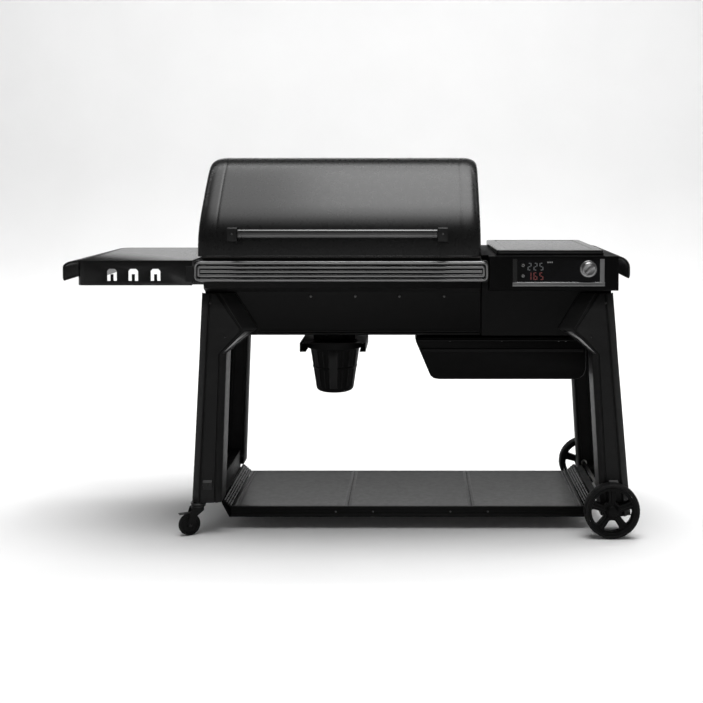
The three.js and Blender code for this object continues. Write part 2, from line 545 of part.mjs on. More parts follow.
// ================================================================ grease and ash keg
{
  const k = KEG;
  // bracket: a top plate with two side rails whose lips carry the keg's collar
  let bracket = box(k.x - 108, k.y - 100, 601, k.x + 108, k.y + 100, 604).subtract(rod("z", 60, 590, 610, k.x, k.y, 20));
  for (const s of [-1, 1]) {
    const a = k.x + s * 108, b = k.x + s * 105, c = k.x + s * 88;
    bracket = bracket
      .add(box(Math.min(a, b), k.y - 100, 574, Math.max(a, b), k.y + 100, 604))
      .add(box(Math.min(a, c), k.y - 100, 574, Math.max(a, c), k.y + 100, 577));
  }
  bracket = bracket.add(box(k.x - 108, k.y + 97, 574, k.x + 108, k.y + 100, 604));
  // spigot up to the chamber's drain
  bracket = bracket.add(
    rod("z", 44, 602, 619, k.x, k.y, 16).subtract(rod("z", 40, 595, 625, k.x, k.y, 16)),
  ).add(
    box(k.x - 70, k.y - 20, 603, k.x - 40, k.y + 20, 620.5).subtract(rod("z", 41, 595, 630, k.x, k.y, 16)),
  ).add(
    box(k.x + 40, k.y - 20, 603, k.x + 70, k.y + 20, 620.5).subtract(rod("z", 41, 595, 630, k.x, k.y, 16)),
  );
  piece(grill, "keg_bracket", bracket, BLACK);
  const keg = group(grill, k.x, k.y, 0);
  const profile = [
    [0, k.bottom], [46, k.bottom + 1], [57, k.bottom + 5], [k.r1, k.bottom + 14], [k.r0, 577.6], [k.collar, 577.6],
    [k.collar, k.top], [k.collar - 3, k.top], [k.collar - 3, 580.6], [k.r0 - 2.6, 580.6], [k.r1 - 3, k.bottom + 15.5],
    [55, k.bottom + 8], [45, k.bottom + 4], [0, k.bottom + 3.5],
  ];
  piece(keg, "grease_keg", turned(profile, 28), BLACK);
}

// ================================================================ stand: legs
// Each leg is a folded channel: a front face, a wide chamfer on its outer edge, a side flange each way,
// and a gusset at the top that spreads over the chamber's front. s is -1 on the left and 1 on the right.
function leg(s, L, tip, topInner) {
  const t = SHEET;
  const section = (z, y0, y1, inset) => {
    const o = L.outer(z) - s * inset, i = L.inner(Math.min(z, 590)) + s * inset;
    const c = 22, d = 8, k = inset * 0.42;
    return [
      [o, y1, z], [o, y0 + c + k, z], [o - s * (c + k - inset), y0 + inset, z],
      [i + s * (d + k - inset), y0 + inset, z], [i, y0 + d + k, z], [i, y1, z],
    ];
  };
  const post = hull([...section(L.foot, FACE_Y, LEG_BACK_Y, 0), ...section(631, FACE_Y, LEG_BACK_Y, 0)]);
  const cover = hull([...section(600, FACE_Y, PANEL_Y - 1.3, 0), ...section(LEG_TOP, FACE_Y, PANEL_Y - 1.3, 0)]);
  // gusset: face triangle, with a sloped margin that runs back to the panel
  const m = L.inner(590) + s * 30;
  const face = [[m, LEG_TOP], [topInner, LEG_TOP], [tip, 665], [L.inner(590), 590], [m, 590]];
  const back = [[m, LEG_TOP], [topInner - s * 70, LEG_TOP], [tip - s * 38, 664], [L.inner(590) - s * 5, 588], [m, 588]];
  const gusset = hull([...face.map(([x, z]) => [x, FACE_Y, z]), ...back.map(([x, z]) => [x, PANEL_Y - 1.3, z])]);
  const knee = hull(
    [[m, 588], [L.inner(590), 590], [L.inner(590) - s * 33, 631], [m, 631]].flatMap(([x, z]) => [[x, FACE_Y + 2, z], [x, LEG_BACK_Y, z]]),
  );
  let made = join(post, cover, gusset, knee);
  const cut = join(
    hull([...section(L.foot + t, FACE_Y, LEG_BACK_Y + 10, t), ...section(628, FACE_Y, LEG_BACK_Y + 10, t)]),
    hull([...section(590, FACE_Y, PANEL_Y + 5, t), ...section(LEG_TOP - t, FACE_Y, PANEL_Y + 5, t)]),
    hull([
      ...[[m, LEG_TOP - t], [topInner + s * 3, LEG_TOP - t], [tip + s * 4, 666], [L.inner(590) + s * 4, 594], [m, 594]].map(([x, z]) => [x, FACE_Y + t, z]),
      ...[[m, LEG_TOP - t], [topInner - s * 66, LEG_TOP - t], [tip - s * 33, 665], [L.inner(590), 594], [m, 594]].map(([x, z]) => [x, PANEL_Y + 1, z]),
    ]),
    hull([[m, 588], [L.inner(590) + s * 4, 592], [L.inner(590) - s * 27, 628], [m, 628]].flatMap(([x, z]) => [[x, FACE_Y + 4, z], [x, LEG_BACK_Y + 10, z]])),
  );
  made = made.subtract(cut);
  // small step across the face above the foot
  const z = 182;
  made = made.add(
    hull([
      [L.inner(z) + s * 9, FACE_Y + 1, z + 2], [L.outer(z) - s * 24, FACE_Y + 1, z + 2],
      [L.inner(z) + s * 9, FACE_Y - 1.6, z - 3], [L.outer(z) - s * 24, FACE_Y - 1.6, z - 3],
      [L.inner(L.foot) + s * 9, FACE_Y - 1.6, L.foot + 1], [L.outer(L.foot) - s * 24, FACE_Y - 1.6, L.foot + 1],
      [L.inner(L.foot) + s * 9, FACE_Y + 1, L.foot], [L.outer(L.foot) - s * 24, FACE_Y + 1, L.foot],
    ]),
  );
  return made;
}
{
  let left = leg(-1, LEFT, -326, -425);
  left = left.subtract(rod("z", 8, 100, 115, CASTER.x, -CASTER.y, 14));
  piece(grill, "leg_front_left", left, BLACK);
  piece(grill, "leg_rear_left", left.mirror([0, 1, 0]), BLACK);
  let right = leg(1, RIGHT, 712, 807);
  right = right.subtract(rod("y", AXLE.r + 0.5, -280, -160, WHEEL.x, WHEEL.z, 14));
  piece(grill, "leg_front_right", right, BLACK);
  piece(grill, "leg_rear_right", right.mirror([0, 1, 0]), BLACK);
}

// crossbar between the two left legs
{
  const y = -LEG_BACK_Y - 0.6;
  piece(grill, "crossbar_left", box(-446, -y, 98, -416, y, 160).subtract(box(-443, -y - 5, 95, -419, y + 5, 157)), BLACK);
}

// ================================================================ bottom shelf
{
  const b = BOTTOM;
  // frame: front and back lips and the flared side rails, one welded ring
  const rail = (s, x) =>
    hull([
      [x, b.y0, b.lip + 4], [x, b.y1, b.lip + 4], [x, b.y0, b.top - 2.3], [x, b.y1, b.top - 2.3],
      [x + s * 6, b.y0, b.lip], [x + s * 6, b.y1, b.lip],
      [x + s * 28, b.y0, b.rim], [x + s * 28, b.y1, b.rim], [x + s * 32, b.y0, b.rim], [x + s * 32, b.y1, b.rim],
      [x + s * 32, b.y0, b.rim - 12], [x + s * 32, b.y1, b.rim - 12],
    ]);
  const lip = (y0, y1) => box(b.x0 - 1, y0, b.lip, b.x1 + 1, y1, b.top - 1);
  const ledge = (y0, y1) => box(b.x0 - 1, y0, b.top - 4.3, b.x1 + 1, y1, b.top - 2.3);
  // the rails are folded sheet, hollow and open underneath and at both ends
  const hollow = (s, x) =>
    hull([-5, 5].flatMap((e) => [
      [x + s * 2, e < 0 ? b.y0 - 5 : b.y1 + 5, b.lip - 5], [x + s * 2, e < 0 ? b.y0 - 5 : b.y1 + 5, b.top - 9],
      [x + s * 27, e < 0 ? b.y0 - 5 : b.y1 + 5, b.rim - 4], [x + s * 30, e < 0 ? b.y0 - 5 : b.y1 + 5, b.rim - 4],
      [x + s * 30, e < 0 ? b.y0 - 5 : b.y1 + 5, b.rim - 12], [x + s * 7, e < 0 ? b.y0 - 5 : b.y1 + 5, b.lip - 5],
    ]));
  const frame = join(
    lip(b.y0, b.y0 + 3), ledge(b.y0, b.y0 + 30), box(b.x0, b.y0, b.lip, b.x1, b.y0 + 18, b.lip + 3),
    lip(b.y1 - 3, b.y1), ledge(b.y1 - 30, b.y1), box(b.x0, b.y1 - 18, b.lip, b.x1, b.y1, b.lip + 3),
    rail(-1, b.x0).subtract(hollow(-1, b.x0)), rail(1, b.x1).subtract(hollow(1, b.x1)),
  );
  piece(grill, "bottom_shelf_frame", frame, BLACK);
  const names = ["shelf_panel_left", "shelf_panel_middle", "shelf_panel_right"];
  const edges = [b.x0, ...b.seams, b.x1];
  names.forEach((name, i) => {
    const x0 = edges[i] + 0.6, x1 = edges[i + 1] - 0.6;
    piece(grill, name, box(x0, b.y0 + 3.5, b.top - 2, x1, b.y1 - 3.5, b.top), SHELFTOP);
  });
}

// ================================================================ wheels on the right
{
  const w = WHEEL, n = 28;
  const windows = [];
  for (let i = 0; i < 5; i++) {
    const a = Math.PI / 2 + (i + 0.5) * 0.4 * Math.PI; // middle of the window, spokes between
    const p = [];
    const half = 0.44, inner = 0.3;
    for (let k = 0; k <= 4; k++) {
      const t = a - half + (2 * half * k) / 4;
      p.push([66 * Math.cos(t), 66 * Math.sin(t)]);
    }
    p.push([29 * Math.cos(a + inner), 29 * Math.sin(a + inner)], [29 * Math.cos(a - inner), 29 * Math.sin(a - inner)]);
    windows.push(p);
  }
  const rim = () =>
    prismY(circle(74, n), -11, 11, windows)
      .add(rod("y", 22, -15, 15, 0, 0, 18))
      .subtract(rod("y", AXLE.r + 0.5, -20, 20, 0, 0, 14));
  const band = () => {
    const p = [[74.4, -14], [80, -17], [85, -17], [88.2, -12], [w.r, -6], [w.r, 6], [88.2, 12], [85, 17], [80, 17], [74.4, 14]];
    const g = new THREE.LatheGeometry([...p, p[0]].map(([r, y]) => new THREE.Vector2(r, y)), n);
    return solid(g); // about the Y axis
  };
  for (const [name, y] of [["front", w.y], ["rear", -w.y]]) {
    const g = group(grill, w.x, y, w.z);
    piece(g, "wheel_" + name, rim(), PLASTIC);
    piece(g, "tyre_" + name, band(), TYRE);
  }
  // one axle through both right legs, with a collar inside each leg and a cap at each end
  let axle = rod("y", AXLE.r, -AXLE.y, AXLE.y, w.x, w.z, 14);
  for (const s of [-1, 1]) {
    axle = axle.add(rod("y", 13, Math.min(s * AXLE.y, s * (AXLE.y - 4)), Math.max(s * AXLE.y, s * (AXLE.y - 4)), w.x, w.z, 16));
    axle = axle.add(rod("y", 11, s < 0 ? -258 : 252, s < 0 ? -252 : 258, w.x, w.z, 14));
  }
  piece(grill, "wheel_axle", axle, STEEL);
}

// ================================================================ swivel casters on the left
{
  const c = CASTER;
  for (const [name, y] of [["front", -c.y], ["rear", c.y]]) {
    const swivel = group(grill, c.x, y, 0);
    swivel.rotation.z = THREE.MathUtils.degToRad(c.turn);
    // in the swivel's frame the wheel trails towards -X and its axle runs along Y
    const arm = (y0, y1) =>
      hull([
        ...circle(9, 8, -c.trail, c.r).flatMap(([x, z]) => [[x, y0, z], [x, y1, z]]),
        [14, y0, 90], [14, y1, 90], [-22, y0, 90], [-22, y1, 90], [14, y0, 80], [14, y1, 80],
      ]);
    const fork = join(
      rod("z", 24, 96, 103, 0, 0, 18), rod("z", 21, 86, 97, 0, 0, 18), rod("z", 6.5, 100, 128, 0, 0, 12),
      box(-22, -15, 82, 14, 15, 90), arm(-15, -12), arm(12, 15),
    ).subtract(rod("y", 3.6, -20, 20, -c.trail, c.r, 10));
    piece(swivel, "caster_fork_" + name, fork, BLACK);
    const wheel = group(swivel, -c.trail, 0, c.r);
    piece(
      wheel,
      "caster_wheel_" + name,
      join(rod("y", c.r, -c.width / 2 + 3, c.width / 2 - 3, 0, 0, 24), rod("y", c.r - 3, -c.width / 2, c.width / 2, 0, 0, 24), rod("y", 3, -15.5, 15.5, 0, 0, 10)),
      TYRE,
    );
  }
}

// ================================================================ folding side shelf on the left
{
  const s = SHELF, t = SHEET;
  const shelf = group(grill);
  const corners = [1, 0, 0, 1];
  const outer = prismZ(rounded(s.x0, s.y0, s.x1, s.y1, s.r, 4, corners), s.z0, s.z1);
  const inner = prismZ(rounded(s.x0 + t, s.y0 + t, s.x1 + 20, s.y1 - t, s.r - t, 4, corners), s.z0 - 1, s.z1 - t);
  let tray = outer.subtract(inner);
  for (const x of HOOKS) {
    // an upside-down U cut in the front skirt leaves a tongue to hang tools on
    const cut = [
      [x - 15, 821], [x - 15, 852], [x - 9, 858.5], [x + 9, 858.5], [x + 15, 852], [x + 15, 821], [x + 5, 821],
      [x + 5, 842], [x - 5, 842], [x - 5, 821],
    ];
    tray = tray.subtract(prismY(cut.reverse(), s.y0 - 1, s.y0 + t + 1));
  }
  piece(shelf, "side_shelf", tray, BLACK);
  // pull handle along the shelf's outer end
  // (both end handles are curved strips with a space for the fingers behind their lower edge)
  const left = [
    [-850.3, 885], [-872, 882], [-888, 876], [-894, 867], [-894, 823], [-889, 820], [-885, 824], [-887, 829], [-887, 864],
    [-883, 870], [-870, 875], [-850.3, 877.5],
  ];
  piece(shelf, "side_handle_left", prismY(left, s.y0 + 3, s.y1 - 3), PLASTIC);
  const right = [
    [856.3, 898], [870, 895], [882, 887], [889, 877], [892, 864], [892, 832], [887, 829], [883, 833], [885, 838], [885, 863],
    [882, 873], [877, 880.5], [867, 887.5], [856.3, 890],
  ].reverse();
  piece(grill, "side_handle_right", prismY(right, FASCIA_Y + 2, HOPPER.y1 - 2), PLASTIC);
  // hinge rod and its brackets on the chamber's left end
  let hinge = rod("y", 5, -281.5, 264.5, SHELF_PIVOT.x, SHELF_PIVOT.z, 12);
  for (const [y0, y1] of [[-256, -226], [200, 230]])
    hinge = hinge.add(box(-497, y0, 806, BARREL.x0 - GAP, y1, 826));
  piece(grill, "side_shelf_hinge", hinge, STEEL);
}

export default root;
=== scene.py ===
import math

import bmesh
import bpy
from mathutils import Matrix, Vector

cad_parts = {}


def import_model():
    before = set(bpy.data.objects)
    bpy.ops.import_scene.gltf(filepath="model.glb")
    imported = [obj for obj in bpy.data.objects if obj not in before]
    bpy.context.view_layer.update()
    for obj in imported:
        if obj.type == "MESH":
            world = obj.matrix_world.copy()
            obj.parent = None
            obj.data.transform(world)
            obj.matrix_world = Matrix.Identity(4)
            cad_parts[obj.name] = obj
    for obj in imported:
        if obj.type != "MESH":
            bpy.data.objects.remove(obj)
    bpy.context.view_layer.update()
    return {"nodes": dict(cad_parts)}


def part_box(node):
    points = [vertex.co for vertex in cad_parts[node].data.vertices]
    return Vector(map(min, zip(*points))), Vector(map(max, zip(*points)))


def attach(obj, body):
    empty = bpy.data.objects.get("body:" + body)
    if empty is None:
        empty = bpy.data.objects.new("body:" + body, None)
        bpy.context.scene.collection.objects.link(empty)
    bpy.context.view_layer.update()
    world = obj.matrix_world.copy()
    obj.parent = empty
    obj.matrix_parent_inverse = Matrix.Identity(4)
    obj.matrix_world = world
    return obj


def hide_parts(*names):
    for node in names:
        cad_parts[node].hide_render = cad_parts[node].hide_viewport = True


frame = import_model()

# ------------------------------------------------------------------ frame helpers
# Sizes below are in the layout's millimetres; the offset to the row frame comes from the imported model.
_lo, _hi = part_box("front_rail")
OX = _lo.x * 1000 + 478.0
_lo, _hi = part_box("exhaust_duct")
OY = _hi.y * 1000 - 302.0


def P(x, y, z):
    return Vector(((x + OX) / 1000, (y + OY) / 1000, z / 1000))


def B(node):
    """A node's box in layout millimetres."""
    lo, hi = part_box(node)
    return (lo.x * 1000 - OX, lo.y * 1000 - OY, lo.z * 1000, hi.x * 1000 - OX, hi.y * 1000 - OY, hi.z * 1000)


SC = bpy.context.scene

# ------------------------------------------------------------------ materials


def _new(name):
    m = bpy.data.materials.new(name)
    m.use_nodes = True
    nt = m.node_tree
    b = nt.nodes["Principled BSDF"]
    tc = nt.nodes.new("ShaderNodeTexCoord")
    return m, nt, b, tc


def _noise(nt, tc, scale, detail=3, rough=0.5, stretch=None):
    n = nt.nodes.new("ShaderNodeTexNoise")
    n.inputs["Scale"].default_value = scale
    n.inputs["Detail"].default_value = detail
    n.inputs["Roughness"].default_value = rough
    if stretch:
        mp = nt.nodes.new("ShaderNodeMapping")
        mp.inputs["Scale"].default_value = stretch
        nt.links.new(tc.outputs["Object"], mp.inputs["Vector"])
        nt.links.new(mp.outputs["Vector"], n.inputs["Vector"])
    else:
        nt.links.new(tc.outputs["Object"], n.inputs["Vector"])
    return n.outputs["Fac"]


def _range(nt, fac, a, b, lo=0.3, hi=0.7):
    r = nt.nodes.new("ShaderNodeMapRange")
    r.inputs["From Min"].default_value = lo
    r.inputs["From Max"].default_value = hi
    r.inputs["To Min"].default_value = a
    r.inputs["To Max"].default_value = b
    nt.links.new(fac, r.inputs["Value"])
    return r.outputs["Result"]


def _ramp(nt, fac, stops):
    r = nt.nodes.new("ShaderNodeValToRGB")
    e = r.color_ramp.elements
    e[0].position, e[0].color = stops[0][0], (*stops[0][1], 1)
    e[1].position, e[1].color = stops[-1][0], (*stops[-1][1], 1)
    for p, c in stops[1:-1]:
        x = e.new(p)
        x.color = (*c, 1)
    nt.links.new(fac, r.inputs["Fac"])
    return r.outputs["Color"]


def _bump(nt, b, height, strength, distance, normal=None):
    n = nt.nodes.new("ShaderNodeBump")
    n.inputs["Strength"].default_value = strength
    n.inputs["Distance"].default_value = distance
    nt.links.new(height, n.inputs["Height"])
    if normal is not None:
        nt.links.new(normal, n.inputs["Normal"])
    nt.links.new(n.outputs["Normal"], b.inputs["Normal"])
    return n.outputs["Normal"]


def _mixc(nt, fac, a, b):
    m = nt.nodes.new("ShaderNodeMix")
    m.data_type = "RGBA"
    nt.links.new(fac, m.inputs["Factor"])
    for s, v in ((6, a), (7, b)):
        if isinstance(v, tuple):
            m.inputs[s].default_value = (*v, 1)
        else:
            nt.links.new(v, m.inputs[s])
    return m.outputs[2]


def powder(name, dark, light, rough=(0.38, 0.5), grain=700, bump=0.22, edge_wear_and_highlight=0.05, spec=0.5):
    """Textured powder coat: orange-peel grain, cloudy tone, and slightly lighter convex edges, partly rubbed wear and
    partly a painted edge highlight.
    """
    m, nt, b, tc = _new(name)
    cloud = _noise(nt, tc, 5, 2)
    fine = _noise(nt, tc, grain, 2)
    mid = _noise(nt, tc, 60, 3)
    col = _ramp(nt, cloud, [(0.3, (dark,) * 3), (0.7, (light,) * 3)])
    speck = _range(nt, fine, 0.0, 0.35, 0.55, 0.8)
    col = _mixc(nt, speck, col, (light * 1.7, light * 1.7, light * 1.75))
    # convex edges lightened by pointiness: partly rubbed wear, partly a painted edge highlight
    geo = nt.nodes.new("ShaderNodeNewGeometry")
    edge = _range(nt, geo.outputs["Pointiness"], 0.0, 0.55, 0.53, 0.62)
    col = _mixc(nt, edge, col, (light + edge_wear_and_highlight * 0.5, light + edge_wear_and_highlight * 0.5, light + edge_wear_and_highlight * 0.5))
    nt.links.new(col, b.inputs["Base Color"])
    nt.links.new(_range(nt, mid, rough[0], rough[1]), b.inputs["Roughness"])
    b.inputs["Specular IOR Level"].default_value = spec
    n1 = _bump(nt, b, fine, bump, 0.0003)
    _bump(nt, b, _noise(nt, tc, 2.0, 1), 0.02, 0.004, n1)
    return m


def metal(name, dark, light, rough=(0.25, 0.4), stretch=(3, 260, 260), bump=0.08, tint=(1, 1, 1)):
    """Brushed or rolled metal: streaks along the direction with the smallest stretch."""
    m, nt, b, tc = _new(name)
    streak = _noise(nt, tc, 3, 5, 0.6, stretch)
    cloud = _noise(nt, tc, 8, 3)
    a = tuple(dark * t for t in tint)
    c = tuple(light * t for t in tint)
    col = _mixc(nt, _range(nt, cloud, 0.0, 0.5), _ramp(nt, streak, [(0.3, a), (0.7, c)]), a)
    nt.links.new(col, b.inputs["Base Color"])
    b.inputs["Metallic"].default_value = 1
    nt.links.new(_range(nt, streak, rough[0], rough[1]), b.inputs["Roughness"])
    _bump(nt, b, streak, bump, 0.0003)
    return m


def plastic(name, dark, light, rough=(0.45, 0.6), grain=500, bump=0.18, tint=(1, 1, 1), spec=0.2):
    m, nt, b, tc = _new(name)
    cell = nt.nodes.new("ShaderNodeTexVoronoi")
    cell.inputs["Scale"].default_value = grain
    nt.links.new(tc.outputs["Object"], cell.inputs["Vector"])
    cloud = _noise(nt, tc, 14, 3)
    col = _ramp(nt, cloud, [(0.3, tuple(dark * t for t in tint)), (0.7, tuple(light * t for t in tint))])
    nt.links.new(col, b.inputs["Base Color"])
    nt.links.new(_range(nt, _noise(nt, tc, 90, 2), rough[0], rough[1]), b.inputs["Roughness"])
    b.inputs["Specular IOR Level"].default_value = spec
    _bump(nt, b, cell.outputs["Distance"], bump, 0.0003)
    return m


M = {
    "hood": powder("hood_powder", 0.0055, 0.0078, (0.265, 0.295), 620, 0.22, 0.04, 0.20),
    "body": powder("body_powder", 0.0012, 0.0020, (0.46, 0.56), 700, 0.3, 0.018, 0.05),
    "leg": powder("leg_powder", 0.0026, 0.0040, (0.52, 0.60), 700, 0.25, 0.035, 0.14),
    "deck": powder("deck_powder", 0.0040, 0.0058, (0.36, 0.42), 650, 0.2, 0.03, 0.25),
    "shelf": powder("shelf_powder", 0.0036, 0.0054, (0.19, 0.24), 650, 0.10, 0.03, 0.15),
    "rail": metal("rail_anodised", 0.13, 0.20, (0.28, 0.38), (2, 300, 300)),
    "bar": metal("bar_anodised", 0.062, 0.10, (0.26, 0.36), (2, 300, 300)),
    "trim": metal("trim_satin", 0.13, 0.19, (0.34, 0.46), (2, 260, 260)),
    "steel": metal("sheet_steel", 0.30, 0.46, (0.3, 0.48), (2, 60, 60)),
    "zinc": metal("zinc_hardware", 0.24, 0.36, (0.3, 0.45), (90, 90, 90), tint=(1, 0.99, 0.95)),
    "dark": metal("dark_hardware", 0.022, 0.045, (0.34, 0.5), (90, 90, 90)),
    "screw": metal("black_screw", 0.06, 0.10, (0.30, 0.42), (90, 90, 90)),
    "plastic": plastic("black_plastic", 0.0045, 0.0075),
    "seal": plastic("foam_seal", 0.0022, 0.004, (0.9, 1.0), 260, 0.5),
    "wheel": plastic("wheel_plastic", 0.0014, 0.0026, (0.42, 0.54), 420, 0.14, (1, 1, 1), 0.08),
    "grip": plastic("grip_plastic", 0.0035, 0.006, (0.5, 0.62), 380, 0.3),
    "board": plastic("circuit_board", 0.02, 0.05, (0.3, 0.5), 120, 0.1, (0.2, 1, 0.45)),
    "enamel": powder("porcelain_enamel", 0.006, 0.012, (0.12, 0.24), 260, 0.1, 0.02),
}


def special():
    # tyre: dusty rubber with fine cross grain
    m, nt, b, tc = _new("tyre_rubber")
    col = _ramp(nt, _noise(nt, tc, 26, 4), [(0.3, (0.006,) * 3), (0.55, (0.010,) * 3), (0.75, (0.022, 0.021, 0.02))])
    nt.links.new(col, b.inputs["Base Color"])
    nt.links.new(_range(nt, _noise(nt, tc, 120, 2), 0.6, 0.85), b.inputs["Roughness"])
    _bump(nt, b, _noise(nt, tc, 420, 3), 0.35, 0.0004)
    M["tyre"] = m
    # controller glass: deep black gloss with faint smears
    m, nt, b, tc = _new("panel_gloss")
    nt.links.new(_ramp(nt, _noise(nt, tc, 20, 3), [(0.3, (0.002,) * 3), (0.7, (0.004, 0.004, 0.005))]), b.inputs["Base Color"])
    nt.links.new(_range(nt, _noise(nt, tc, 35, 4, 0.6, (1, 1, 3)), 0.06, 0.2), b.inputs["Roughness"])
    b.inputs["Specular IOR Level"].default_value = 0.07
    M["gloss"] = m
    # knob face and skirt: turned metal with concentric marks about the knob's own axis
    m, nt, b, tc = _new("turned_knob")
    kb = B("control_knob")
    c = P((kb[0] + kb[3]) / 2, 0, (kb[2] + kb[5]) / 2)
    mp = nt.nodes.new("ShaderNodeMapping")
    mp.inputs["Location"].default_value = (-c.x, 0, -c.z)
    wv = nt.nodes.new("ShaderNodeTexWave")
    wv.wave_type, wv.rings_direction = "RINGS", "Y"
    wv.inputs["Scale"].default_value = 420
    wv.inputs["Distortion"].default_value = 1.2
    nt.links.new(tc.outputs["Object"], mp.inputs["Vector"])
    nt.links.new(mp.outputs["Vector"], wv.inputs["Vector"])
    nt.links.new(_ramp(nt, wv.outputs["Fac"], [(0.0, (0.17,) * 3), (1.0, (0.29,) * 3)]), b.inputs["Base Color"])
    b.inputs["Metallic"].default_value = 1
    nt.links.new(_range(nt, wv.outputs["Fac"], 0.24, 0.36, 0, 1), b.inputs["Roughness"])
    _bump(nt, b, wv.outputs["Fac"], 0.12, 0.0002)
    M["knob"] = m
    # rope gasket: braided
    m, nt, b, tc = _new("braided_gasket")
    wv = nt.nodes.new("ShaderNodeTexWave")
    wv.bands_direction = "DIAGONAL"
    wv.inputs["Scale"].default_value = 110
    wv.inputs["Distortion"].default_value = 2
    nt.links.new(tc.outputs["Object"], wv.inputs["Vector"])
    nt.links.new(_ramp(nt, wv.outputs["Fac"], [(0.2, (0.015,) * 3), (0.8, (0.05, 0.048, 0.045))]), b.inputs["Base Color"])
    b.inputs["Roughness"].default_value = 0.9
    _bump(nt, b, wv.outputs["Fac"], 0.6, 0.001)
    M["gasket"] = m
    for name, rgb, power in (("segment_pale", (0.10, 0.105, 0.11), 0.25), ("segment_red", (0.12, 0.016, 0.014), 0.5), ("mark_pale", (0.22, 0.22, 0.22), 0.2)):
        m, nt, b, tc = _new(name)
        glow = _ramp(nt, _noise(nt, tc, 900, 2), [(0.3, tuple(v * 0.6 for v in rgb)), (0.7, rgb)])
        nt.links.new(glow, b.inputs["Base Color"])
        nt.links.new(glow, b.inputs["Emission Color"])
        b.inputs["Emission Strength"].default_value = power
        b.inputs["Roughness"].default_value = 0.4
        M[name] = m


special()

# ------------------------------------------------------------------ mesh helpers


def tone(mat, k, spec):
    """Scales a paint's or rubber's ramp colours and sets how strongly it shines."""
    for n in mat.node_tree.nodes:
        if n.type == "VALTORGB":
            for el in n.color_ramp.elements:
                el.color = (el.color[0] * k, el.color[1] * k, el.color[2] * k, 1)
        elif n.type == "BSDF_PRINCIPLED":
            n.inputs["Specular IOR Level"].default_value = spec


tone(M["tyre"], 0.45, 0.16)


def obj(name, bm, mat, body, angle=32):
    bmesh.ops.recalc_face_normals(bm, faces=bm.faces)
    me = bpy.data.meshes.new(name)
    bm.to_mesh(me)
    bm.free()
    return wrap(name, me, mat, body, angle)


def wrap(name, me, mat, body, angle=32):
    me.polygons.foreach_set("use_smooth", [True] * len(me.polygons))
    me.set_sharp_from_angle(angle=math.radians(angle))
    o = bpy.data.objects.new(name, me)
    SC.collection.objects.link(o)
    me.materials.clear()
    me.materials.append(M[mat])
    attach(o, body)
    return o


def bevel(o, width, segs=3, angle=25, clamp=True):
    b = o.modifiers.new("bevel", "BEVEL")
    b.width = width / 1000
    b.segments = segs
    b.limit_method = "ANGLE"
    b.angle_limit = math.radians(angle)
    b.use_clamp_overlap = clamp
    b.harden_normals = True
    return o


def thick(o, t=1.5, offset=-1):
    s = o.modifiers.new("sheet", "SOLIDIFY")
    s.thickness = t / 1000
    s.offset = offset
    s.use_even_offset = True
    return o


def faces(name, verts, polys, mat, body, angle=32):
    bm = bmesh.new()
    vs = [bm.verts.new(v) for v in verts]
    for f in polys:
        bm.faces.new([vs[i] for i in f])
    bm.normal_update()
    return obj(name, bm, mat, body, angle)


def axis_point(axis, u, v, w):
    return {"x": P(w, u, v), "y": P(u, w, v), "z": P(u, v, w)}[axis]


def prism(name, pts, axis, a, b, mat, body, caps=True, angle=32, closed=True):
    """An outline (in the other two axes) run along one axis."""
    n = len(pts)
    verts = [axis_point(axis, p[0], p[1], a) for p in pts] + [axis_point(axis, p[0], p[1], b) for p in pts]
    polys = [(i, (i + 1) % n, n + (i + 1) % n, n + i) for i in range(n if closed else n - 1)]
    if caps and closed:
        polys += [tuple(range(n)), tuple(range(2 * n - 1, n - 1, -1))]
    return faces(name, verts, polys, mat, body, angle)


def lathe(name, prof, axis, centre, mat, body, seg=48, angle=32, wobble=None):
    """prof is [(radius, along)], turned about an axis through centre (layout mm)."""
    verts, polys = [], []
    rings = []
    for r, t in prof:
        if r < 1e-6:
            rings.append([len(verts)])
            u, v = 0.0, 0.0
            verts.append(_lp(axis, centre, 0, 0, t))
            continue
        ring = []
        for k in range(seg):
            a = 2 * math.pi * k / seg
            rr = r + (wobble(a, r, t) if wobble else 0)
            ring.append(len(verts))
            verts.append(_lp(axis, centre, rr * math.cos(a), rr * math.sin(a), t))
        rings.append(ring)
    for p, q in zip(rings, rings[1:]):
        if len(p) == 1 and len(q) == 1:
            continue
        for k in range(seg):
            l = (k + 1) % seg
            if len(p) == 1:
                polys.append((p[0], q[l], q[k]))
            elif len(q) == 1:
                polys.append((p[k], p[l], q[0]))
            else:
                polys.append((p[k], p[l], q[l], q[k]))
    return faces(name, verts, polys, mat, body, angle)


def _lp(axis, c, u, v, t):
    if axis == "x":
        return P(c[0] + t, c[1] + u, c[2] + v)
    if axis == "y":
        return P(c[0] + u, c[1] + t, c[2] + v)
    return P(c[0] + u, c[1] + v, c[2] + t)


def rbox(name, x0, y0, z0, x1, y1, z1, mat, body, r=2, segs=3):
    o = prism(name, [(x0, z0), (x1, z0), (x1, z1), (x0, z1)], "y", y0, y1, mat, body)
    return bevel(o, r, segs)


def smooth_path(pts, per=6):
    """Catmull-Rom through the points."""
    out = []
    n = len(pts)
    for i in range(n - 1):
        p0, p1, p2, p3 = pts[max(i - 1, 0)], pts[i], pts[i + 1], pts[min(i + 2, n - 1)]
        for k in range(per):
            t = k / per
            out.append(
                tuple(
                    0.5 * (2 * b + (c - a) * t + (2 * a - 5 * b + 4 * c - d) * t * t + (3 * b - a - 3 * c + d) * t**3)
                    for a, b, c, d in zip(p0, p1, p2, p3)
                )
            )
    out.append(tuple(pts[-1]))
    return out


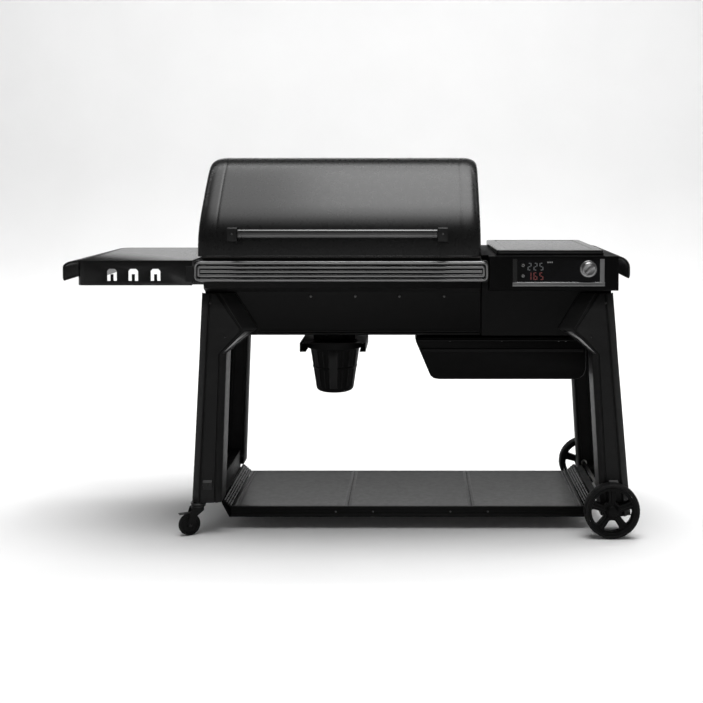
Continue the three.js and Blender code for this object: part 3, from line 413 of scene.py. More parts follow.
def tube(name, pts, r, mat, body, closed=False, res=6):
    """A round bead or rod along points in layout mm, as a mesh."""
    cu = bpy.data.curves.new(name, "CURVE")
    cu.dimensions = "3D"
    cu.bevel_depth = r / 1000
    cu.bevel_resolution = res
    cu.use_fill_caps = True
    sp = cu.splines.new("POLY")
    sp.points.add(len(pts) - 1)
    for q, p in zip(sp.points, pts):
        q.co = (*P(*p), 1)
    sp.use_cyclic_u = closed
    tmp = bpy.data.objects.new(name + "_c", cu)
    SC.collection.objects.link(tmp)
    bpy.context.view_layer.update()
    me = bpy.data.meshes.new_from_object(tmp.evaluated_get(bpy.context.evaluated_depsgraph_get()))
    bpy.data.objects.remove(tmp)
    bpy.data.curves.remove(cu)
    me.name = name
    return wrap(name, me, mat, body, 40)


def flat(name, outline, holes, axis, a, b, mat, body, edge=0.6, angle=40):
    """A plate with holes: outlines in the two other axes, from a to b along the axis, with eased edges."""
    cu = bpy.data.curves.new(name, "CURVE")
    cu.dimensions = "2D"
    cu.fill_mode = "BOTH"
    cu.extrude = (abs(b - a) / 2 - edge) / 1000
    cu.bevel_depth = edge / 1000
    cu.bevel_resolution = 2
    cu.offset = -edge / 1000
    for loop in [outline, *holes]:
        sp = cu.splines.new("POLY")
        sp.points.add(len(loop) - 1)
        for q, p in zip(sp.points, loop):
            q.co = (p[0] / 1000, p[1] / 1000, 0, 1)
        sp.use_cyclic_u = True
    tmp = bpy.data.objects.new(name + "_c", cu)
    SC.collection.objects.link(tmp)
    bpy.context.view_layer.update()
    me = bpy.data.meshes.new_from_object(tmp.evaluated_get(bpy.context.evaluated_depsgraph_get()))
    bpy.data.objects.remove(tmp)
    bpy.data.curves.remove(cu)
    mid = (a + b) / 2
    for v in me.vertices:
        u, w, d = v.co.x * 1000, v.co.y * 1000, v.co.z * 1000
        v.co = axis_point(axis, u, w, mid + d)
    me.name = name
    bm = bmesh.new()
    bm.from_mesh(me)
    bmesh.ops.remove_doubles(bm, verts=bm.verts, dist=1e-6)
    bmesh.ops.recalc_face_normals(bm, faces=bm.faces)
    bm.to_mesh(me)
    bm.free()
    o = wrap(name, me, mat, body, angle)
    wn = o.modifiers.new("even_shading", "WEIGHTED_NORMAL")
    wn.mode = "FACE_AREA"
    wn.weight = 100
    wn.keep_sharp = True
    return o


def circle(r, n=32, cx=0, cy=0, a0=0):
    return [(cx + r * math.cos(a0 + 2 * math.pi * k / n), cy + r * math.sin(a0 + 2 * math.pi * k / n)) for k in range(n)]


def round_poly(pts, radii, n=5):
    """Rounds a closed polygon's corners."""
    out = []
    m = len(pts)
    for i, p in enumerate(pts):
        r = radii[i] if isinstance(radii, (list, tuple)) else radii
        a, c = Vector(pts[i - 1]), Vector(pts[(i + 1) % m])
        b = Vector(p)
        u, v = (a - b), (c - b)
        lu, lv = u.length, v.length
        if r <= 0:
            out.append(tuple(b))
            continue
        u, v = u / lu, v / lv
        half = math.acos(max(-1, min(1, u.dot(v)))) / 2
        d = min(r / math.tan(half), lu * 0.49, lv * 0.49)
        s, e = b + u * d, b + v * d
        for k in range(n + 1):
            t = k / n
            out.append(tuple(s * (1 - t) ** 2 + b * 2 * t * (1 - t) + e * t * t))
    return out


def strip(name, path, t, axis, a, b, mat, body, edge=1.2):
    """A curved wall of thickness t that follows a path in the two other axes."""
    n = len(path)
    left, right = [], []
    for i, p in enumerate(path):
        q0, q1 = Vector(path[max(i - 1, 0)]), Vector(path[min(i + 1, n - 1)])
        d = (q1 - q0).normalized()
        nrm = Vector((-d.y, d.x))
        left.append(tuple(Vector(p) + nrm * t / 2))
        right.append(tuple(Vector(p) - nrm * t / 2))
    cap = []
    d = (Vector(path[-1]) - Vector(path[-2])).normalized()
    for k in range(1, 6):
        ang = math.pi / 2 - math.pi * k / 6
        cap.append(tuple(Vector(path[-1]) + (d * math.cos(ang) + Vector((-d.y, d.x)) * math.sin(ang)) * t / 2))
    return flat(name, left + cap + right[::-1], [], axis, a, b, mat, body, edge)


def screws(name, items, mat, body):
    """Pan-head screws with a hexagon recess. Each item is (x, y, z, axis, sign, radius)."""
    bm = bmesh.new()
    for x, y, z, ax, sg, r in items:
        prof = [(r, 0), (r, 0.25 * r), (r * 0.93, 0.42 * r), (r * 0.75, 0.55 * r), (r * 0.5, 0.6 * r)]
        rings = []
        n = 18
        for rr, t in prof:
            rings.append([bm.verts.new(_lp(ax, (x, y, z), rr * math.cos(2 * math.pi * k / n), rr * math.sin(2 * math.pi * k / n), t * sg)) for k in range(n)])
        def hexr(rr, k):
            a = 2 * math.pi * k / n
            return rr / math.cos(((a + math.pi / 6) % (math.pi / 3)) - math.pi / 6)
        for rr, t in ((0.42 * r, 0.6 * r), (0.4 * r, 0.25 * r)):
            rings.append([bm.verts.new(_lp(ax, (x, y, z), hexr(rr, k) * math.cos(2 * math.pi * k / n), hexr(rr, k) * math.sin(2 * math.pi * k / n), t * sg)) for k in range(n)])
        for p, q in zip(rings, rings[1:]):
            for k in range(n):
                bm.faces.new((p[k], p[(k + 1) % n], q[(k + 1) % n], q[k]))
        bm.faces.new(rings[-1])
        bm.faces.new(rings[0][::-1])
    return obj(name, bm, mat, body, 35)


def keep(node, mat, r=0.0, segs=2, angle=28):
    """A CAD node whose shape is right: eased edges and a better material."""
    o = frame["nodes"][node]
    o.data.polygons.foreach_set("use_smooth", [True] * len(o.data.polygons))
    o.data.materials.clear()
    o.data.materials.append(M[mat])
    w = o.modifiers.new("weld", "WELD")
    w.merge_threshold = 0.00002
    d = o.modifiers.new("planar", "DECIMATE")
    d.decimate_type = "DISSOLVE"
    d.angle_limit = math.radians(0.5)
    if r:
        bevel(o, r, segs, angle)
    else:
        e = o.modifiers.new("split", "EDGE_SPLIT")
        e.split_angle = math.radians(30)
    return o


# ------------------------------------------------------------------ hood
HOOD = [
    (-285, 897), (-284.6, 925), (-281, 952), (-271, 982), (-252, 1013), (-226, 1045), (-194, 1079), (-162, 1112),
    (-129, 1145), (-104, 1168), (-82, 1185), (-56, 1199), (-22, 1207.5), (25, 1211), (75, 1212), (120, 1210),
    (160, 1202), (195, 1183.5), (222, 1155.5), (242, 1115), (255, 1060), (262, 990), (265, 897),
]


def hood():
    hb = B("hood_shell")
    x0, x1 = hb[0], hb[3]
    prof = smooth_path(HOOD, 5)
    n = len(prof)
    normals = []
    for i in range(n):
        a, b = Vector(prof[max(i - 1, 0)]), Vector(prof[min(i + 1, n - 1)])
        d = (b - a).normalized()
        normals.append(Vector((d.y, -d.x)))  # towards the inside
    # how far the section is drawn in, by distance from the end: a soft shoulder, then the flat end panel
    R, D = 50.0, 27.0
    steps = [0, 0.8, 2, 4, 7, 11, 16, 22, 29, 37, 44, 50]
    def inset(dx):
        t = min(1.0, (R - dx) / R)
        return D * (1 - (1 - t**2.5) ** (1 / 2.5))
    xs = [(x0 + d, inset(d)) for d in steps] + [(x0 + 56, 0), (x0 + 58.5, 0.9), (x0 + 60.5, 0.9), (x0 + 63, 0)]
    m = 8
    xs += [(x0 + 70 + (x1 - x0 - 140) * k / m, 0) for k in range(0, m + 1)]
    xs += [(x1 - 63, 0), (x1 - 60.5, 0.9), (x1 - 58.5, 0.9), (x1 - 56, 0)] + [(x1 - d, inset(d)) for d in reversed(steps)]
    bm = bmesh.new()
    rows = []
    for x, s in xs:
        row = []
        for (y, z), nr in zip(prof, normals):
            yy, zz = y + nr.x * s, z + nr.y * s
            if z < 897.5:
                zz = 897
            row.append(bm.verts.new(P(x, yy, zz)))
        rows.append(row)
    for a, b in zip(rows, rows[1:]):
        for i in range(n - 1):
            bm.faces.new((a[i], a[i + 1], b[i + 1], b[i]))
    # end panels: a shallow pressed border, then a flat field
    for row, x, sg in ((rows[0], x0, 1), (rows[-1], x1, -1)):
        mid = P(x, -5, 1010)
        prev = row
        for f, dx in ((0.955, 0.0), (0.94, 1.6), (0.0, 1.6)):
            if f == 0.0:
                bm.faces.new(prev)
                break
            ring = []
            for v in row:
                c = mid + (v.co - mid) * f
                c.x = (x + sg * dx + OX) / 1000
                if v.co.z < 0.8972:
                    c.z = 0.897
                ring.append(bm.verts.new(c))
            for i in range(n - 1):
                bm.faces.new((prev[i], prev[i + 1], ring[i + 1], ring[i]))
            prev = ring
    o = obj("hood_skin", bm, "hood", "hood", 24)
    thick(o, 1.5)
    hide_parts("hood_shell")
    # rolled lower hem at the front, and the ears that turn on the hinge rod
    tube("hood_front_hem", [(x0 + 30, -284.5, 898.6), (x1 - 30, -284.5, 898.6)], 1.6, "hood", "hood")
    for i, x in enumerate((-330, 262)):
        ear = flat("hood_ear_%d" % i, round_poly([(263, 897.5), (263, 922), (276, 910), (285, 904), (285, 896), (275, 891), (266, 894)], 3),
                   [circle(5.7, 24, 275, 900)], "x", x, x + 22, "hood", "hood")
    # handle
    for s in ("left", "right"):
        keep("handle_post_" + s, "grip", 3.0, 3, 24)
    bb = B("hood_handle_bar")
    r, cy, cz = 14.0, (bb[1] + bb[4]) / 2, (bb[2] + bb[5]) / 2
    # a flat-fronted extrusion with tight round edges, and turned-in ends
    n = 64
    ring = []
    for k in range(n):
        a = 2 * math.pi * k / n
        u, v = math.cos(a), math.sin(a)
        q = (abs(u) ** 2.9 + abs(v) ** 2.9) ** (-1 / 2.9)
        ring.append((u * q, v * q))
    cuts = [(0, 0.86), (0.8, 0.94), (2.2, 1), (13, 1), (13.4, 0.95), (15, 0.95), (15.4, 1)]
    L = bb[3] - bb[0]
    cuts += [(15.4 + (L - 30.8) * k / 8, 1) for k in range(1, 8)] + [(L - t, f) for t, f in reversed(cuts)]
    bm = bmesh.new()
    rings = [[bm.verts.new(P(bb[0] + t, cy + 13.2 * f * u, cz + 13.8 * f * v)) for u, v in ring] for t, f in cuts]
    for c, d in zip(rings, rings[1:]):
        for k in range(n):
            bm.faces.new((c[k], c[(k + 1) % n], d[(k + 1) % n], d[k]))
    bm.faces.new(rings[0])
    bm.faces.new(rings[-1][::-1])
    bar = obj("handle_extrusion", bm, "bar", "hood", 30)
    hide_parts("hood_handle_bar")
    screws("handle_screws", [(-350, -343.2 + 1, 972, "y", -1, 3.4), (301, -343.2 + 1, 972, "y", -1, 3.4)], "screw", "hood")


hood()
keep("hood_gasket", "gasket")
keep("hood_hinge_rod", "dark", 0.3)

# ------------------------------------------------------------------ accessory rail
def rail():
    b = B("front_rail")
    x0, x1, y0, y1, z0, z1 = b[0], b[3], b[1], b[4], b[2], b[5]
    pitch = (z1 - z0) / 5
    pts = []
    for i in range(5):
        zc = z0 + (i + 0.5) * pitch
        for k in range(-7, 8):
            u = k / 7
            pts.append((y0 + 6.0 * (abs(u) ** 3.2), zc + u * (pitch / 2 - 0.9)))
        if i < 4:
            pts.append((y0 + 7.5, z0 + (i + 1) * pitch))
    pts = [(y1, z0), *pts, (y1, z1)]
    o = prism("rail_extrusion", pts, "x", x0 + 20, x1 - 20, "rail", "stand", angle=50)
    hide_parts("front_rail")
    for side, xa, sg in (("left", x0, 1), ("right", x1, -1)):
        xe = xa + sg * 20.2
        zt, zb = z1 - pitch / 2, z0 + pitch / 2
        R = 17.0
        outline = round_poly([(xa, z0), (xe, z0), (xe, z1), (xa, z1)], [R, 0, 0, R], 8)
        cap = flat("rail_end_cap_" + side, outline, [], "y", y0 + 6, y1, "plastic", "stand", 1.0)
        for j, off in enumerate((0.0, pitch)):
            a, c = zt - off, zb + off
            r = R - 4 - off * 0.75
            path = [(xe, a)] + [(xa + sg * (4.5 + off * 0.75 + r * (1 - math.sin(t * math.pi / 16))), a - r + r * math.cos(t * math.pi / 16)) for t in range(9)]
            path += [(xa + sg * (4.5 + off * 0.75 + r * (1 - math.cos(t * math.pi / 16))), c + r - r * math.sin(t * math.pi / 16)) for t in range(9)]
            path += [(xe, c)]
            tube("rail_end_bead_%s_%d" % (side, j), [(x, y0 + 4.4, z) for x, z in path], 4.3, "rail", "stand")


rail()

# ------------------------------------------------------------------ chamber, hopper and what is inside
keep("barrel_body", "body", 0.6)
keep("exhaust_duct", "body", 0.6)
keep("hopper_casing", "body", 0.6)
keep("pellet_bin", "steel", 0.3)
keep("firepot", "steel", 0.4)
keep("igniter_rod", "zinc")
keep("heat_baffle", "steel", 0.3)
keep("drip_tray", "steel", 0.3)
keep("temperature_probe", "zinc")
keep("auger_tube", "steel", 0.4)
keep("auger_screw", "zinc")
keep("auger_motor", "body", 1.2)
keep("fan_housing", "steel", 0.4)
keep("fan_wheel", "plastic", 0.4)
keep("fan_motor", "body", 1.0)
keep("hopper_hinge_rod", "dark", 0.3)
keep("cleanout_door", "body", 0.5)
keep("power_inlet", "plastic", 0.8)
keep("controller_board", "board", 0.3)
keep("side_shelf_hinge", "dark", 0.4)
keep("crossbar_left", "body", 1.0)
keep("wheel_axle", "zinc", 0.5)


def grates():
    """Welded wire grids in place of the flat CAD ones."""
    for node in ("grate_left", "grate_right", "upper_rack"):
        x0, y0, z0, x1, y1, z1 = B(node)
        top = z1 - 3.5 if node != "upper_rack" else z1 - 3.5
        bars = []
        count = 26 if node != "upper_rack" else 44
        r = 2.4 if node != "upper_rack" else 1.9
        for k in range(count + 1):
            x = x0 + 3 + (x1 - x0 - 6) * k / count
            bars.append(("y", x, top + 0.6, y0 + 2, y1 - 2, r))
        for y in ([y0 + 3, (y0 + y1) / 2, y1 - 3] if node != "upper_rack" else [y0 + 26, 60, y1 - 26]):
            bars.append(("x", y, top - 1.2, x0 + 1, x1 - 1, 3.0))
        bm = bmesh.new()
        n = 10
        for ax, p, q, a, b, rr in bars:
            rings = []
            for t, s in ((a, 0.5), (a + 0.8, 1), (b - 0.8, 1), (b, 0.5)):
                ring = []
                for k in range(n):
                    u, v = rr * s * math.cos(2 * math.pi * k / n), rr * s * math.sin(2 * math.pi * k / n)
                    ring.append(bm.verts.new(P(p + u, t, q + v) if ax == "y" else P(t, p + u, q + v)))
                rings.append(ring)
            for c, d in zip(rings, rings[1:]):
                for k in range(n):
                    bm.faces.new((c[k], c[(k + 1) % n], d[(k + 1) % n], d[k]))
            bm.faces.new(rings[0])
            bm.faces.new(rings[-1][::-1])
        o = obj(node + "_wires", bm, "enamel", "stand", 40)
        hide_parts(node)
        if node == "upper_rack":
            for i, x in enumerate((x0 + 4, x1 - 4)):
                leg = [(x, -40, top - 3), (x, -40, 826), (x, -36, 823), (x, 156, 823), (x, 160, 826), (x, 160, top - 3)]
                tube("rack_leg_%d" % i, leg, 3.2, "enamel", "stand")


grates()


def shelf_bracket():
    rbox("shelf_end_bracket", -506, -289.5, 818, B("front_rail")[0] - 0.8, -284.8, 868, "shelf", "side_shelf", 1.4)


def hopper():
    # lid: shallow pressed tray, open underneath
    x0, y0, z0, x1, y1, z1 = B("hopper_lid")
    y1 = 224.0
    z0 = 899.0
    bm = bmesh.new()
    out = round_poly([(x0, y0), (x1, y0), (x1, y1), (x0, y1)], 11, 6)
    levels = [(0, z0), (0, z1 - 5), (0.5, z1 - 2.6), (1.9, z1 - 1.0), (4.2, z1 - 0.2), (7, z1), (27, z1), (29, z1 - 1.8), (32, z1 - 2.0), (34, z1 - 0.6), (38, z1 - 0.4)]
    cx, cy = (x0 + x1) / 2, (y0 + y1) / 2
    hx, hy = (x1 - x0) / 2, (y1 - y0) / 2
    rings = []
    for d, z in levels:
        rings.append([bm.verts.new(P(cx + (p[0] - cx) * (1 - d / hx), cy + (p[1] - cy) * (1 - d / hy), z)) for p in out])
    n = len(out)
    for a, b in zip(rings, rings[1:]):
        for k in range(n):
            bm.faces.new((a[k], a[(k + 1) % n], b[(k + 1) % n], b[k]))
    bm.faces.new(rings[-1])
    o = obj("hopper_lid_pressing", bm, "shelf", "hopper_lid", 30)
    thick(o, 1.5)
    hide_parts("hopper_lid")
    for i, x in enumerate((556, 752)):
        flat("hopper_lid_ear_%d" % i, round_poly([(222.5, 899.5), (222.5, 914), (231, 914), (238.5, 909), (238.5, 902), (231, 898.6)], 3),
             [circle(4.7, 20, 231, 906)], "x", x, x + 18, "deck", "hopper_lid")
    # controller housing: face frame with a sloped recess round the glass
    gx0, gy0, gz0, gx1, gy1, gz1 = B("controller_glass")
    x0, y0, z0, x1, y1, z1 = B("controller_housing")
    def rect(ax0, az0, ax1, az1, y):
        return [(ax0, y, az0), (ax1, y, az0), (ax1, y, az1), (ax0, y, az1)]
    deep = gy0 - 0.3
    loops = [
        rect(x0, z0, x1, z1, y1),
        rect(x0, z0, x1, z1, y0 + 5),
        rect(x0 + 0.5, z0 + 4.5, x1 - 0.5, z1 - 0.5, y0),
        rect(gx0 - 13, gz0 - 12, gx1 + 12, gz1 + 4, y0),
        rect(gx0 - 1.0, gz0 - 0.5, gx1 + 0.8, gz1 + 1.2, deep),
        rect(gx0 + 1.0, gz0 + 1.0, gx1 - 1.0, gz1 - 1.0, deep),
        rect(gx0 + 1.0, gz0 + 1.0, gx1 - 1.0, gz1 - 1.0, deep + 2),
    ]
    verts = [P(*p) for l in loops for p in l]
    polys = []
    for i in range(len(loops) - 1):
        for k in range(4):
            polys.append((4 * i + k, 4 * i + (k + 1) % 4, 4 * (i + 1) + (k + 1) % 4, 4 * (i + 1) + k))
    o = faces("controller_face", verts, polys, "body", "stand")
    bevel(o, 1.4, 3, 20)
    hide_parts("controller_housing")
    kx, kz, ux, uz, lz = 760, 858.6, 554.7, 869.7, 836.5
    g = flat("controller_window", round_poly([(gx0, gz0), (gx1, gz0), (gx1, gz1), (gx0, gz1)], 2.5, 4),
             [circle(26.6, 48, kx, kz), circle(7.5, 28, ux, uz), circle(7.5, 28, ux, lz)], "y", gy0, gy1, "gloss", "stand", 0.5)
    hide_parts("controller_glass")
    # satin trim: a ledge under the glass and a slim return at each side; the ledge is a lighter metal strip laid over
    # the slope, a painted highlight
    yo = y0 - 0.7
    prism("controller_highlight_strip_low", [(gy0 - 0.7, gz0 - 0.8), (gy0 - 2.2, gz0 - 2.0), (yo, gz0 - 9.0), (yo - 0.5, gz0 - 11), (yo, gz0 - 13.6), (y0 + 1, gz0 - 14.2), (gy0 + 1.2, gz0 - 4)], "x", gx0 - 15, gx1 + 16, "trim", "stand")
    for nm, xa, sg in (("left", gx0, -1), ("right", gx1, 1)):
        pts = [(xa + sg * 0.6, gy0 - 0.7), (xa + sg * 2.4, gy0 - 1.4), (xa + sg * 12, yo), (xa + sg * 14.5, yo), (xa + sg * 14.5, y0 + 0.8), (xa + sg * 1.0, gy0 + 1)]
        prism("controller_trim_" + nm, pts, "z", gz0 - 1.0, gz1 + 3.0, "trim" if sg > 0 else "leg", "stand")
    # soft seal between the lid and the deck, dark along the front
    rbox("lid_seal_front", 474, y0 + 0.6, 898.1, 812, -270.5, 899.3, "seal", "stand", 0.4, 2)
    rbox("lid_seal_wings", 450, y0 + 0.4, 897.9, 856, y0 + 3.0, 898.5, "seal", "stand", 0.2, 1)
    # seven-segment readout and small plain marks
    def seg7(name, text, x, z, h, mat):
        on = {"0": "abcdef", "1": "bc", "2": "abged", "3": "abgcd", "4": "fgbc", "5": "afgcd", "6": "afgedc", "7": "abc", "8": "abcdefg", "9": "abcdfg"}
        w, t = h * 0.5, h * 0.11
        bm = bmesh.new()
        y = gy0 - 0.25
        def quad(xa, za, xb, zb):
            front = [bm.verts.new(P(px, y, pz)) for px, pz in ((xa, za), (xb, za), (xb, zb), (xa, zb))]
            back = [bm.verts.new(P(px, y + 0.2, pz)) for px, pz in ((xa, za), (xb, za), (xb, zb), (xa, zb))]
            bm.faces.new(front)
            bm.faces.new(back[::-1])
            for k in range(4):
                bm.faces.new((front[k], back[k], back[(k + 1) % 4], front[(k + 1) % 4]))
        for i, ch in enumerate(text):
            xx = x + i * (w + h * 0.28)
            g = t * 0.35
            parts = {
                "a": (xx + g + t, z + h - t, xx + w - g - t, z + h), "d": (xx + g + t, z, xx + w - g - t, z + t),
                "g": (xx + g + t, z + h / 2 - t / 2, xx + w - g - t, z + h / 2 + t / 2),
                "f": (xx, z + h / 2 + g, xx + t, z + h - g), "e": (xx, z + g, xx + t, z + h / 2 - g),
                "b": (xx + w - t, z + h / 2 + g, xx + w, z + h - g), "c": (xx + w - t, z + g, xx + w, z + h / 2 - g),
            }
            for s in on[ch]:
                quad(*parts[s])
        return obj(name, bm, mat, "stand", 30)
    dx = gx0 + 32
    seg7("readout_upper", "225", dx, gz0 + 36, 24, "segment_pale")
    seg7("readout_lower", "165", dx, gz0 + 6, 24, "segment_red")
    for i in range(3):
        rbox("panel_mark_%d" % i, dx + 62 + i * 6.5, gy0 - 0.3, gz1 - 10, dx + 66 + i * 6.5, gy0 - 0.05, gz1 - 5.5, "mark_pale", "stand", 0.1, 1)
    # knob: knurled skirt, chamfered cap with a notch
    kx0, ky0, kz0, kx1, ky1, kz1 = B("control_knob")
    c = ((kx0 + kx1) / 2, 0, (kz0 + kz1) / 2)
    R = (kx1 - kx0) / 2
    base = ky0 + 21.0
    def knurl(a, r, t):
        return -0.55 * (0.5 + 0.5 * math.cos(a * 40)) if r > R - 5.2 and base - 16 < t < base - 6 else 0
    prof = [(0, base), (R, base), (R, base - 4.2), (R - 0.8, base - 5), (R - 3.4, base - 5.4), (R - 3.4, base - 6.4), (R - 3.7, base - 15.6), (R - 4.2, base - 17.2), (R - 6.6, base - 19.6), (R - 8.2, base - 20), (R - 9, base - 19.6), (6, base - 19.2), (0, base - 19.2)]
    k = lathe("knob_cap", prof, "y", c, "knob", "control_knob", 160, 26, knurl)
    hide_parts("control_knob")
    # grip bar across the cap, with a dark mark at its upper end
    tilt = math.radians(42)
    def across(u, v):
        return (c[0] + u * math.sin(tilt) + v * math.cos(tilt), c[2] + u * math.cos(tilt) - v * math.sin(tilt))
    bevel(prism("knob_grip", [across(-15.5, -4.2), across(15.5, -4.2), across(15.5, 4.2), across(-15.5, 4.2)], "y", base - 26.5, base - 18.5, "knob", "control_knob"), 1.8, 3)
    bevel(prism("knob_mark", [across(7.5, -0.9), across(13.5, -0.9), across(13.5, 0.9), across(7.5, 0.9)], "y", base - 26.9, base - 26.0, "plastic", "control_knob"), 0.2, 2)
    ring = lathe("knob_bezel", [(R + 0.8, gy0 + 0.2), (R + 3.6, gy0 + 0.2), (R + 3.6, gy0 - 1.0), (R + 2.8, gy0 - 1.6), (R + 1.6, gy0 - 1.6), (R + 0.8, gy0 - 1.0), (R + 0.8, gy0 + 0.2)], "y", c, "plastic", "stand", 64)
    for nm in ("upper", "lower"):
        bx0, by0, bz0, bx1, by1, bz1 = B(nm + "_button")
        cc = ((bx0 + bx1) / 2, 0, (bz0 + bz1) / 2)
        o = lathe(nm + "_button_cap", [(0, by1), (9, by1), (9.8, by1 - 1), (9.8, by1 - 3.6), (7, by1 - 4), (6.8, by0 + 1.2), (6.2, by0 + 0.3), (4.5, by0), (0, by0 + 0.5)], "y", cc, "plastic", nm + "_button", 36)
        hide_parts(nm + "_button")
        lathe(nm + "_button_ring", [(2.7, by0 + 0.3), (4.2, by0 + 0.3), (4.2, by0 - 0.25), (2.7, by0 - 0.25), (2.7, by0 + 0.3)], "y", cc, "mark_pale", nm + "_button", 28)


shelf_bracket()
hopper()


# ------------------------------------------------------------------ underside pan and keg
def underside():
    x0, y0, z0, x1, y1, z1 = B("underside_housing")
    y0 = -150.0
    y1 = 150.0
    line = [(x0, z1), (x0 + 3, z1 - 14), (x0 + 44, 508), (x0 + 51, 492), (x0 + 62, 484), (x0 + 78, z0), (x1 - 36, z0), (x1 - 18, 485), (x1 - 6, 496), (x1, 514), (x1, z1)]
    n = len(line)
    verts = [P(x, y0, z) for x, z in line] + [P(x, y1, z) for x, z in line]
    polys = [(i, i + 1, n + i + 1, n + i) for i in range(n - 1)] + [tuple(range(n)), tuple(range(2 * n - 1, n - 1, -1))]
    o = faces("underside_pan", verts, polys, "body", "stand", 28)
    bevel(o, 5, 4, 40)
    thick(o, 1.5)
    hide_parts("underside_housing")
    tube("pan_top_bead", [(x0 + 6, y0 - 1.5, 611), (x1 - 4, y0 - 1.5, 611)], 3.0, "body", "stand")
    prism("pan_ridge", [(y0 + 1, 586), (y0 - 4.6, 582), (y0 - 5, 579), (y0 - 4.6, 576), (y0 + 1, 570)], "x", x0 + 22, x1 - 8, "body", "stand")
    screws("pan_screws", [(687, y0, 610, "y", -1, 4.2), (710, y0, 610, "y", -1, 4.2), (330, y0, 610, "y", -1, 3.6), (500, y0, 610, "y", -1, 3.6)], "screw", "stand")


underside()


def keg():
    x0, y0, z0, x1, y1, z1 = B("grease_keg")
    c = ((x0 + x1) / 2, (y0 + y1) / 2, 0)
    t, b, R0, R1, C = z1, z0, 83.0, 63.0, (x1 - x0) / 2
    def r_at(z):
        return R1 + (R0 - R1) * (z - b - 14) / (577.6 - b - 14)
    prof = [(0, b + 1.5), (40, b + 1.5), (44, b), (50, b), (57, b + 3), (R1 - 1.5, b + 8), (R1 + 0.2, b + 15)]
    prof += [(r_at(z), z) for z in (470, 500)]
    prof += [(r_at(508), 508), (r_at(509) + 1.8, 510), (r_at(511) + 1.8, 513), (r_at(514), 515), (r_at(550), 550), (R0 - 0.3, 572), (R0 + 1.2, 576.4), (C - 1, 577.0), (C, 578), (C, t - 0.6), (C - 0.6, t), (C - 1.6, t), (C - 2, t - 0.6), (C - 2, 580.5), (R0 - 1.5, 580.2), (R1 - 1.5, b + 15.5), (54, b + 6), (40, b + 4), (0, b + 4)]
    o = lathe("keg_bucket", prof, "z", c, "body", "grease_keg", 72, 30)
    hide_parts("grease_keg")
    # upright strap down the front, and raised ribs round the bucket's wall
    pts = []
    for z in (574, 540, 505, 470, b + 16):
        pts.append((r_at(z), z))
    bm = bmesh.new()
    rows = []
    for r, z in pts:
        row = []
        for k in range(9):
            a = math.radians(-90 + (k - 4) * 3.0)
            rr = r + (2.6 if 0 < k < 8 else 0.0)
            row.append(bm.verts.new(P(c[0] + rr * math.cos(a), c[1] + rr * math.sin(a), z)))
        rows.append(row)
    for a, bb in zip(rows, rows[1:]):
        for k in range(8):
            bm.faces.new((a[k], a[k + 1], bb[k + 1], bb[k]))
    s = obj("keg_strap", bm, "leg", "grease_keg", 25)
    thick(s, 1.2)
    for j, deg in enumerate((-152, -131, -114, -66, -49, -28, 30, 60, 90, 120, 150)):
        ca, sa = math.cos(math.radians(deg)), math.sin(math.radians(deg))
        for part, (za, zb) in enumerate(((570, 517), (506, b + 17))):
            tube("keg_rib_%d_%d" % (j, part), [(c[0] + (r_at(z) + 0.5) * ca, c[1] + (r_at(z) + 0.5) * sa, z) for z in (za, (za + zb) / 2, zb)], 2.3, "body", "grease_keg")
    keep("keg_bracket", "body", 0.7)
    screws("keg_bracket_screws", [(x, c[1] - 98, 602.5, "z", 1, 3.2) for x in (c[0] - 98, c[0] + 98)], "screw", "stand")


keg()


# ------------------------------------------------------------------ legs
def soften(pts, radii, n=3):
    """Rounds the inner corners of an open section, always giving the same number of points."""
    out = []
    for i, p in enumerate(pts):
        r = radii[i]
        if r == 0:
            out.append(p)
            continue
        a, b, c = Vector(pts[i - 1]), Vector(p), Vector(pts[i + 1])
        u, v = (a - b).normalized(), (c - b).normalized()
        d = min(r, (a - b).length * 0.45, (c - b).length * 0.45)
        e, f = b + u * d, b + v * d
        for k in range(n + 1):
            t = k / n
            out.append(tuple(e * (1 - t) ** 2 + b * 2 * t * (1 - t) + f * t * t))
    return out


